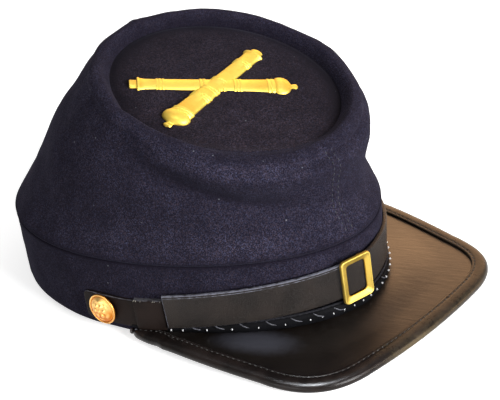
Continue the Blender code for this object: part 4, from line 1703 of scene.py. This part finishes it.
@dataclass
class ChinStrap(SubAssembly):
    """The chin strap's two pieces and the keeper."""

    thick: float = 1.8
    side_height: float = 7.9
    front_rise: float = 8.6
    inner_width: float = 15.0
    inner_height: float = 9.2
    inner_meets: Pair = (-66.0, -48.0)
    outer_width: float = 17.4
    strap_end: float = 89.4
    end_round: float = 3.0
    inner_end: float = -6.2
    outer_end: float = -64.4
    # from which angle to which the long piece comes down onto the band
    ease: Pair = (-4.0, 16.0)
    keeper: Pair = (-73.1, -64.6)
    keeper_thick: float = 0.8
    lined_edge: Triples = (
        # in from the edge, height as a share of the thickness, and how far it is rubbed and lit
        # by a painted highlight
        (0.0, 0.1, 0.6), (0.0, 0.66, 0.8), (0.1, 0.9, 1.0), (0.3, 1.0, 0.8),
        (0.5, 0.97, 0.1), (0.78, 0.82, 0.0), (1.02, 0.97, 0.45), (1.22, 1.0, 0.75),
        (1.5, 1.0, 0.1), (3.2, 1.0, 0.0),
    )
    # the short piece's upper edge: a thin painted highlight along its crest
    plain_edge: Triples = (
        (0.0, 0.1, 0.0), (0.0, 0.6, 0.3), (0.1, 0.82, 0.95), (0.32, 0.97, 0.3),
        (0.65, 1.0, 0.0), (3.2, 1.0, 0.0),
    )
    # the lower edges: little wear and none of the painted highlight that the upper edges carry
    lower_edge: Triples = (
        (0.0, 0.1, 0.0), (0.0, 0.6, 0.0), (0.1, 0.82, 0.1), (0.32, 0.97, 0.1),
        (0.65, 1.0, 0.0), (3.2, 1.0, 0.0),
    )
    slant: float = 0.3
    # an angle and a width, where the short piece dips, and how far
    inner_dip: Triple = (-74.0, 8.0, 1.0)
    faded: float = 0.75
    faded_run: float = 8.0
    keeper_stitches: Pairs = (
        # along the keeper as a share, and how much each stitch leans
        (0.05, 0.5), (0.12, -0.4), (0.28, 0.4), (0.69, 0.5), (0.75, -0.3), (0.93, 0.4),
    )

    def height(self, angle: Points) -> Points:
        """The outer piece's middle line over the band's lower edge."""
        return self.side_height + self.front_rise * maximum(cos(radians(angle)), 0.0)


    def inner_line(self, angle: Points) -> Points:
        """The short piece's middle line: level to the keeper, then under the long one.

        Args:
            angle: Angles round the cap.

        Returns:
            Its height over the band's lower edge at each.
        """
        start, end = self.inner_meets
        share = smooth((asarray(angle) - start) / (end - start))
        low, wide, dip = self.inner_dip
        dipped = self.inner_height - dip * bump(asarray(angle) - low, wide)
        return dipped * (1 - share) + self.height(angle) * share

    def outer_out(self, angle: Points) -> Points:
        """How far out from the band the long piece's back lies.

        Args:
            angle: Angles round the cap.

        Returns:
            The distance at each.
        """
        over = self.form.gap * 2 + self.thick
        start, end = self.ease
        return over + (self.form.gap - over) * smooth((asarray(angle) - start) / (end - start))

    @staticmethod
    def _round(share: Points) -> Points:
        """How far a quarter circle has risen at shares of its run."""
        return sqrt(clip(1 - (1 - minimum(share, 1)) ** 2, 0, 1))

    def _piece(
        self, name: str, angles: Points, width: float, middle: Points, out: Points, lined: bool
    ) -> Piece:
        """One piece of strap leather.

        Args:
            name: The piece's name.
            angles: The stations, from one end to the other.
            width: Its width.
            middle: Its middle line's height at each station.
            out: Its back's distance from the band at each station.
            lined: Whether a line is pressed along its edges and its first end is cut
                aslant; its last end is then cut round, and otherwise its first.

        Returns:
            The new piece, not yet dressed.
        """
        rounded = angles[-1] if lined else angles[0]
        ends = [self.form.place(angle, 0, 0) for angle in (rounded, rounded * 0.99)]
        per_degree = float(np.linalg.norm(ends[0] - ends[1])) / (abs(rounded) * 0.01)
        cut = self._round(abs(angles - rounded) * per_degree / self.end_round)
        half = width / 2 - self.end_round * (1 - cut)
        from_first, from_last = angles - angles[0], angles[-1] - angles
        near = minimum(from_first, from_last) * per_degree
        soft = 0.62 + 0.38 * self._round(near / 0.5)
        upper = array(self.lined_edge if lined else self.plain_edge)
        lower = array(self.lower_edge)[::-1]
        squeeze = minimum(1.0, half / (upper[-1, 0] + 0.3))[:, None]
        flat = concatenate([
            half[:, None] - upper[:, 0] * squeeze, lower[:, 0] * squeeze - half[:, None],
        ], 1)
        level, rubbed = concatenate([upper, lower])[:, 1:].T
        face = level * self.thick * np.where(level > 0.5, soft[:, None], 1.0)
        slant = self.slant * lined * (0.5 - flat / width) * bump(from_first, 6.0)[:, None]
        slanted = angles[:, None] + slant
        loops = self.form.place(slanted, out[:, None] + face, middle[:, None] + flat)
        frayed = lined * bump(from_first * per_degree, 0.6)[:, None]
        faded = 1 - self.faded * smooth((angles - self.inner_end) / self.faded_run)
        # rubbed edges with a painted highlight along the upper edge, less of both past the short
        # piece's end, and the light cut end
        edge = maximum(rubbed * faded[:, None], frayed)
        return self.shop.shape(name, loops, edge=edge)

    @staticmethod
    def _stations(start: float, end: float, count: int) -> Points:
        """Angles along a strap, closer together at its ends."""
        close = array([0.0, 0.06, 0.14, 0.28, 0.5, 0.8, 1.2, 1.7, 2.3])
        even = linspace(start + 3, end - 3, count)
        return concatenate([start + close, even, end - close[::-1]])

    def _straps(self) -> list[Piece]:
        """The two pieces of strap."""
        at = self._stations(-self.strap_end, self.inner_end, 90)
        out = 0 * at + self.form.gap
        line = self.inner_line(at)
        short = self._piece("chin_strap_short", at, self.inner_width, line, out, False)
        self.shop.dress(short, Look.STRAP_INNER, ("chin_strap_inner",), 50)
        at = self._stations(self.outer_end, self.strap_end, 170)
        out, line = self.outer_out(at), self.height(at)
        long = self._piece("chin_strap_long", at, self.outer_width, line, out, True)
        self.shop.dress(long, Look.STRAP, ("chin_strap_outer",), 50)
        return [short, long]

    def _keeper(self) -> list[Piece]:
        """The loop over the short piece, and its stitches."""
        gap = self.form.gap
        half = self.inner_width / 2 + 0.1
        far = gap * 2 + self.thick
        top = half + 0.5
        face = far + self.keeper_thick
        loop = [
            (face, top - 1.4), (face - 0.06, top - 0.8), (face - 0.22, top - 0.35),
            (face - 0.55, top - 0.08), (face - 0.95, top), (gap, top), (gap, half), (far, half),
        ]
        loop = [(face, 0.0), *loop, *((out, -up) for out, up in reversed(loop))]
        out, up = array(loop).T
        start, end = self.keeper
        close = array([0.0, 0.12, 0.4])
        even = linspace(start + 1, end - 1, 10)
        angles = concatenate([start + close, even, end - close[::-1]])[:, None]
        soft = array([0.45, 0.18, 0.04, *zeros(10), 0.04, 0.18, 0.45])
        lift = np.where(out > far, soft[:, None], 0.0)
        loops = self.form.place(angles, out - lift, self.inner_line(angles) + up)
        # a painted highlight along the keeper's upper edge
        rim = broadcast_to(0.8 * bump(up - top, 0.4), loops.shape[:2])
        keeper = self.shop.shape("strap_keeper_leather", loops, edge=rim)
        stitches = self._keeper_stitches(face - 0.2, top - 0.25)
        return [self.shop.dress(keeper, Look.STRAP_INNER, ("strap_keeper",), 50), stitches]

    def _keeper_stitches(self, out: float, up: float) -> Piece:
        """The whipped stitches over the keeper's upper edge.

        Args:
            out: How far out from the band its edge lies.
            up: How high its edge lies over the strap's middle.

        Returns:
            The new piece.
        """
        start, end = self.keeper
        share = linspace(-1, 1, 5)
        paths = []
        for along, lean in self.keeper_stitches:
            angles = start + along * (end - start) + 0.3 * lean * share
            rise = self.inner_line(angles) + up + 0.1 + 0.35 * share
            paths.append(self.form.place(angles, out + 0.1 - 0.25 * share, rise))
        return self.shop.cords("strap_keeper_stitches", paths, 0.24, Look.PALE_THREAD, 6)

    def build(self) -> list[Piece]:
        """Builds and dresses the strap's pieces."""
        return [*self._straps(), *self._keeper()]


# --- the brass ---


@dataclass
class Buckle(SubAssembly):
    """The flat brass frame, and the bar behind the strap that holds it."""

    strap: ChinStrap
    angle: float = -6.8
    low_corner: Pair = (-9.1, -11.1)
    high_corner: Pair = (8.3, 11.3)
    window_low: Pair = (-5.6, -8.2)
    window_high: Pair = (5.3, 7.9)
    corner: float = 2.0
    window_corner: float = 1.8
    low: float = 0.5
    rim: Pairs = (
        # in from the outer edge, and up: a raised rim, then a face that slopes inwards
        (0.25, 0.0), (0.0, 0.25), (0.0, 1.45), (0.1, 1.75), (0.32, 1.95), (0.62, 1.98),
        (0.9, 1.85), (1.1, 1.62),
    )
    lip: Pairs = (
        # in from the window's edge, and up
        (0.3, 0.62), (0.08, 0.5), (0.0, 0.3), (0.0, 0.1), (0.2, 0.0),
    )
    # the bar's place beside the frame's middle, its width and its thickness
    back_bar: Triple = (4.6, 2.2, 0.7)

    @staticmethod
    def _rounded(low: Sequence[float], high: Sequence[float], radius: float) -> Points:
        """A rectangle with round corners, as points in order.

        Args:
            low: Its lower corner on the side of the keeper.
            high: Its opposite corner.
            radius: Its corners' radius.

        Returns:
            The points, two coordinates each.
        """
        points = []
        middle, half = (array(high) + low) / 2, (array(high) - low) / 2
        for quarter, ways in enumerate(((1, 1), (-1, 1), (-1, -1), (1, -1))):
            turn = linspace(quarter, quarter + 1, 10) * pi / 2
            centre = middle + array(ways) * (half - radius)
            points.append(centre + radius * stack([cos(turn), sin(turn)], -1))
        return concatenate(points)

    def _place(self, across: Points, up: Points, out: Points) -> Points:
        """Points given by their place on the buckle.

        Args:
            across: How far each lies towards the wearer's left.
            up: How far each lies up.
            out: How far each lies out from the buckle's back.

        Returns:
            The points, in the cap's frame.
        """
        back = float(self.strap.outer_out(self.angle)) + self.strap.thick + self.form.gap
        middle = float(self.strap.height(self.angle)) - self.low
        axes = (self.form.along(self.angle), UP, self.form.away(self.angle))
        return in_axes(self.form.place(self.angle, back, middle), axes, (across, up, out))

    def _frame(self) -> Piece:
        """The frame: a raised rim, a face that slopes inwards, and a lip at the window."""
        outer = self._rounded(self.low_corner, self.high_corner, self.corner)
        inner = self._rounded(self.window_low, self.window_high, self.window_corner)
        across = unit(inner - outer)
        reach = np.linalg.norm(inner - outer, axis=1)[:, None]
        share = linspace(0.35, 0.85, 5)
        loops = [outer + across * inset for inset, _ in self.rim]
        loops += [outer + across * reach * s for s in share]
        loops += [inner - across * inset for inset, _ in self.lip]
        first, last = self.rim[-1][1], self.lip[0][1]
        slope = first + (last - first) * (share - 0.28) / 0.64
        levels = [up for _, up in self.rim] + slope.tolist() + [up for _, up in self.lip]
        grid = stack(loops, 1)
        # painted shade on the outer edge, the sloping face and the window's lip, and over the
        # whole bar behind the strap
        hollow = zeros(grid.shape[:2])
        hollow[:, len(self.rim):-len(self.lip)] = 0.22
        hollow[:, -len(self.lip):] = 0.8
        hollow[:, :2] = 0.5
        levels = broadcast_to(levels, grid.shape[:2])
        points = self._place(grid[..., 0], grid[..., 1], levels)
        piece = self.shop.shape("buckle_frame", points, around=True, hollow=hollow)
        piece.visible_glossy = False
        return self.shop.dress(piece, Look.OLD_BRASS, ("buckle",), 50)

    def _bar(self) -> Piece:
        """The bar behind the strap with its two arms, bent from one rod."""
        off, wide, thick = self.back_bar
        deep = self.strap.thick + 2 * self.form.gap + thick / 2 + 0.1
        end = self.strap.outer_width / 2 + self.low + 0.4
        arm = [(end, 0.6), (end, -deep / 2), (end - 0.25, -deep)]
        path = array([*arm, (0, -deep), *((-up, out) for up, out in reversed(arm))])
        turn = full_turn(10)
        ring_wide, ring_thick = cos(turn) * wide / 2, sin(turn) * thick / 2
        way = unit(gradient(path, axis=0))
        up = path[:, :1] - way[:, 1:] * ring_thick
        out = path[:, 1:] + way[:, :1] * ring_thick
        loops = self._place(broadcast_to(off + ring_wide, up.shape), up, out)
        bar = self.shop.shape("buckle_back_bar", loops, hollow=ones(loops.shape[:2]))
        return self.shop.dress(bar, Look.OLD_BRASS)

    def build(self) -> list[Piece]:
        """Builds and dresses the buckle's pieces."""
        return [self._frame(), self._bar()]


@dataclass
class SideButton(SubAssembly):
    """A domed brass button with a plain rosette in relief."""

    strap: ChinStrap
    side: Side
    angle: float = 82.9
    tip: float = 4.0
    petals: int = 6
    thick: float = 0.5
    steps: int = 58
    front_steps: int = 42
    profile: Pairs = (
        # out from the middle, and up: the dome, a groove, a rolled rim and its back
        (0.0, 3.3), (1.6, 3.2), (3.2, 2.95), (4.8, 2.45), (6.0, 1.85), (6.7, 1.3),
        (7.0, 1.1), (7.25, 1.35), (7.6, 1.5), (7.95, 1.3), (8.05, 0.9), (7.85, 0.4), (7.0, 0.1),
    )

    def _relief(self, radius: Points, turn: Points) -> Points:
        """The rosette: a boss, a ring of leaves and their tips between them.

        Args:
            radius: Places' distances from the middle.
            turn: Their angles round it, in radians.

        Returns:
            How far the relief stands out at each.
        """
        boss = 0.55 * bump(radius, 0.95)
        leaf = abs(cos(turn * self.petals / 2)) ** 1.5
        leaves = 0.62 * leaf * bump(radius - 2.8, 1.05)
        tips = 0.45 * sin(turn * self.petals / 2) ** 2 * bump(radius - 4.9, 0.8)
        return boss + leaves + tips

    def build(self) -> Piece:
        """Builds and dresses the button."""
        angle = self.angle * self.side.value
        line = self.strap.inner_line if self.side is Side.RIGHT else self.strap.height
        knots = arange(len(self.profile))
        section = curve_through(knots, self.profile, linspace(0, knots[-1], self.steps))
        turn = full_turn(96)[:, None]
        radius, high = section.T[:, None]
        front = arange(self.steps)[None, :] < self.front_steps
        relief = self._relief(radius, turn) * front
        centre = self.form.place(angle, 2 * self.form.gap + self.strap.thick, float(line(angle)))
        facing = (self.angle + self.tip) * self.side.value
        axes = (self.form.along(facing), UP, self.form.away(facing))
        parts = (radius * cos(turn), radius * sin(turn), high + relief)
        grid = in_axes(centre, axes, parts)
        # darker between the leaves, in the groove round the dome and on the back, and painted
        # shade that deepens over the lower half
        low = smooth(0.5 - radius * sin(turn) / 8)
        hollow = clip(0.9 - relief / 0.45, 0, 0.9) * (radius < 6.6) * front
        hollow = hollow * (0.2 + 0.8 * low) + 0.34 * low**2 * front
        hollow = hollow + 0.9 * bump(radius - 6.95, 0.3) + 0.8 * ~front
        node = "button_" + self.side.name.lower()
        piece = self.shop.shape(node + "_dome", grid, True, self.thick, hollow=hollow)
        return self.shop.dress(piece, Look.GILT, (node,), 60)


@dataclass(frozen=True)
class Barrel:
    """Where one of the badge's barrels lies.

    Attributes:
        name: Its name.
        muzzle: Its muzzle's place on the top: to the left and to the back.
        direction: Which way it points from there, from the wearer's left.
        flat: Its height as a share of its radius.
        nodes: The solids that it stands for.
    """

    name: str
    muzzle: Pair
    direction: float
    flat: float
    nodes: tuple[str, ...] = ()


@dataclass
class Badge(SubAssembly):
    """The stamped brass badge: two crossed barrels in half relief."""

    lift: float = 0.3
    barrels: Sequence[Barrel] = (
        Barrel("lower", (-37.5, 28.0), -40.2, 0.35, ("badge",)),
        Barrel("upper", (32.0, 9.2), 192.4, 0.5),
    )
    profile: Pairs = (
        # along the barrel from its muzzle, and its radius
        (0.0, 0.0), (0.0, 3.1), (0.3, 3.4), (3.4, 3.4), (3.6, 4.8), (3.9, 5.5), (4.6, 5.5),
        (5.2, 4.9), (7.4, 4.35), (12.6, 4.3), (12.9, 4.8), (13.6, 4.8), (13.9, 4.4),
        (14.3, 4.85), (15.1, 4.85), (15.5, 4.4), (15.9, 4.85), (16.6, 4.8), (17.0, 4.35),
        (33.6, 4.55), (33.9, 5.1), (34.8, 5.1), (35.2, 4.6), (35.6, 5.1), (36.5, 5.1),
        (36.9, 4.65), (43.0, 4.75), (43.3, 5.4), (44.3, 5.4), (44.7, 4.9), (45.1, 5.4),
        (46.1, 5.4), (46.5, 4.85), (50.1, 4.95), (50.4, 5.5), (51.1, 5.5), (51.5, 5.05),
        (51.9, 5.5), (52.6, 5.5), (53.0, 5.05), (53.4, 5.5), (54.1, 5.45), (54.5, 5.0),
        (66.5, 5.4), (66.8, 6.0), (67.8, 6.0), (68.3, 5.5), (68.8, 6.0), (69.8, 6.0),
        (70.3, 5.6), (70.9, 6.5), (72.0, 7.0), (73.6, 7.1), (75.2, 6.7), (76.6, 5.6),
        (77.6, 4.1), (78.3, 2.2), (78.9, 1.6), (79.6, 2.0), (80.6, 2.2), (81.4, 1.7), (82.0, 0.0),
    )

    def _barrel(self, barrel: Barrel) -> Piece:
        """One barrel, lying on the top.

        Args:
            barrel: Where it lies.

        Returns:
            The new piece.
        """
        x, radius = array(self.profile).T
        turn = full_turn(44)[:, None]
        way = radians(barrel.direction)
        y = radius * cos(turn)
        up = maximum(radius * sin(turn) * barrel.flat, 0.0)
        across = barrel.muzzle[0] + x * cos(way) - y * sin(way)
        back = barrel.muzzle[1] + x * sin(way) + y * cos(way)
        grid = self.form.on_top(across, back, up + self.lift)
        # painted shade along the barrels' foot on the cloth and on their steep steps
        faces_in = abs(gradient(radius)) > 0.45
        hollow = maximum(0.5 * bump(up, 0.4), 0.35 * faces_in)
        piece = self.shop.shape("badge_barrel_" + barrel.name, grid, around=True, hollow=hollow)
        return self.shop.dress(piece, Look.BRASS, barrel.nodes, 32)

    def build(self) -> list[Piece]:
        """Builds and dresses the two barrels."""
        return [self._barrel(barrel) for barrel in self.barrels]


# --- the studio ---


@dataclass(frozen=True)
class SoftLight:
    """A large soft light.

    Attributes:
        name: Its name.
        azimuth: Its direction from the cap's front, towards the wearer's left, in degrees.
        elevation: Its direction over the floor, in degrees.
        distance: How far off it stands, in metres.
        size: Its width and height, in metres.
        power: Its power, in watts.
        colour: Its colour.
        seen: How the cap sees it.
        only: The one piece it reaches; every piece if left empty.
    """

    name: str
    azimuth: float
    elevation: float
    distance: float
    size: Pair
    power: float
    colour: Colour = (1.0, 1.0, 1.0)
    seen: Seen = Seen.MIRRORED
    only: str = ""


def direction(azimuth: float, elevation: float) -> Points:
    """The unit vector towards a direction, in degrees from the front and over the floor."""
    az, el = radians([azimuth, elevation])
    return array([sin(az) * cos(el), -cos(az) * cos(el), sin(el)])


@dataclass
class Studio:
    """The pale floor, the soft lights and the camera at the photograph's angle."""

    form: CapForm
    azimuth: float = -42.253
    elevation: float = 25.199
    roll: float = -9.308
    distance: float = 659.466
    look_right: float = 0.032764
    look_up: float = -0.036265
    lens: float = 88.534
    sensor: float = 36.0
    reach: Pair = (0.01, 50.0)
    white: Colour = (1.0, 1.0, 1.0)
    floor_half: float = 6.0
    floor_colour: Colour = (0.9, 0.9, 0.9)
    floor_roughness: float = 0.9
    floor_specular: float = 0.1
    floor_glow: float = 0.6
    sky: float = 0.34
    lights: Sequence[SoftLight] = (
        SoftLight("key", 0.0, 18.0, 1.7, (0.7, 0.7), 53.0, seen=Seen.FULLY),
        SoftLight("fill", -80.0, 10.0, 1.7, (1.2, 0.8), 14.0, seen=Seen.FULLY),
        SoftLight("overhead", 100.0, 60.0, 1.6, (1.1, 1.1), 2.5, seen=Seen.MATTE),
        SoftLight("skylight", -42.0, 82.0, 1.7, (0.4, 0.4), 6.0, (0.93, 0.96, 1.0)),
        SoftLight("warm wall", 116.0, 19.0, 1.5, (1.3, 0.9), 12.5, (1.0, 0.53, 0.23)),
        SoftLight("dim ceiling", 126.0, 50.0, 1.7, (1.6, 0.8), 2.7, (1.0, 0.46, 0.16)),
        SoftLight(
            "high window", -40.0, 76.0, 1.7, (0.36, 0.6), 118.0, (0.9, 0.94, 1.0),
            only="visor_binding_leather",
        ),
        SoftLight(
            "warm lamp", 42.0, 8.0, 1.5, (0.9, 0.22), 7.0, (1.0, 0.66, 0.3),
            only="visor_binding_leather",
        ),
        SoftLight(
            "side window", -88.0, 42.0, 1.2, (0.25, 0.25), 1.8, (1.0, 0.97, 0.9),
            only="button_right_dome",
        ),
    )

    @staticmethod
    def _add(name: str, data: bpy.types.ID) -> bpy.types.Object:
        """A new object in the scene that holds the data."""
        made = bpy.data.objects.new(name, data)
        bpy.context.scene.collection.objects.link(made)
        return made

    def _camera(self) -> None:
        """The camera, placed by its direction and by where the cap's origin lies in view."""
        back = direction(self.azimuth, self.elevation)
        az, roll = radians([self.azimuth, self.roll])
        level = array([cos(az), sin(az), 0.0])
        upright = cross(back, level)
        right = level * cos(roll) + upright * sin(roll)
        up = upright * cos(roll) - level * sin(roll)
        turn = stack([right, up, back], 1)
        origin = array([-self.look_right, self.look_up, -1.0]) * self.distance
        view = Matrix(turn.tolist()).to_4x4()
        view.translation = -turn @ origin * MM
        data = bpy.data.cameras.new("camera")
        data.lens = self.lens
        data.sensor_width = self.sensor
        data.clip_start, data.clip_end = self.reach
        camera = self._add("camera", data)
        camera.matrix_world = self.form.matrix() @ view
        bpy.context.scene.camera = camera

    def _floor(self) -> None:
        """A plain pale floor under the cap."""
        far = self.floor_half
        corners = [(-far, -far, 0), (far, -far, 0), (far, far, 0), (-far, far, 0)]
        mesh = bpy.data.meshes.new("floor")
        mesh.from_pydata(corners, [], [(0, 1, 2, 3)])
        material = bpy.data.materials.new("pale floor")
        material.use_nodes = True
        Graph(material.node_tree).feed(material.node_tree.nodes["Principled BSDF"], {
            "Base Color": (*self.floor_colour, 1.0),
            "Roughness": self.floor_roughness,
            "Specular IOR Level": self.floor_specular,
            "Emission Color": (*self.white, 1.0),
            "Emission Strength": self.floor_glow,
        })
        mesh.materials.append(material)
        floor = self._add("floor", mesh)
        floor.visible_diffuse = False

    def _world(self) -> None:
        """A pale, even room."""
        world = bpy.data.worlds.new("studio")
        world.use_nodes = True
        Graph(world.node_tree).feed(world.node_tree.nodes["Background"], {
            "Color": (*self.white, 1.0), "Strength": self.sky,
        })
        bpy.context.scene.world = world
        bpy.context.scene.view_settings.view_transform = "Standard"

    def _light(self, light: SoftLight) -> None:
        """Adds one soft light, turned towards the cap.

        Args:
            light: What it is like.
        """
        data = bpy.data.lights.new(light.name, "AREA")
        data.shape = "RECTANGLE"
        data.size, data.size_y = light.size
        data.energy = light.power
        data.color = light.colour
        lamp = self._add(light.name, data)
        way = Vector(direction(light.azimuth, light.elevation))
        lamp.location = way * light.distance
        lamp.rotation_euler = way.to_track_quat("Z", "Y").to_euler()
        lamp.visible_camera = False
        lamp.visible_diffuse = light.seen is not Seen.MIRRORED
        lamp.visible_glossy = light.seen is not Seen.MATTE
        if light.only:
            lit = bpy.data.collections.new(light.name)
            lit.objects.link(bpy.data.objects[light.only])
            lamp.light_linking.receiver_collection = lit

    def build(self) -> None:
        """Sets up the studio."""
        self._camera()
        self._floor()
        self._world()
        for light in self.lights:
            self._light(light)
        log.info("studio: %d lights", len(self.lights))


def main() -> None:
    """Builds the cap, piece by piece, and then the studio round it."""
    logging.basicConfig(level=logging.INFO, format="%(name)s %(message)s")
    form = CapForm()
    shop = Workshop(form)
    strap = ChinStrap(shop)
    crown = Crown(shop)
    for part in (
        crown,
        CrownTop(shop, crown),
        Band(shop),
        Visor(shop),
        Lacing(shop, strap),
        strap,
        Buckle(shop, strap),
        SideButton(shop, strap, Side.RIGHT),
        SideButton(shop, strap, Side.LEFT),
        Badge(shop),
    ):
        part.build()
    Studio(form).build()


if __name__ == "__main__":
    main()
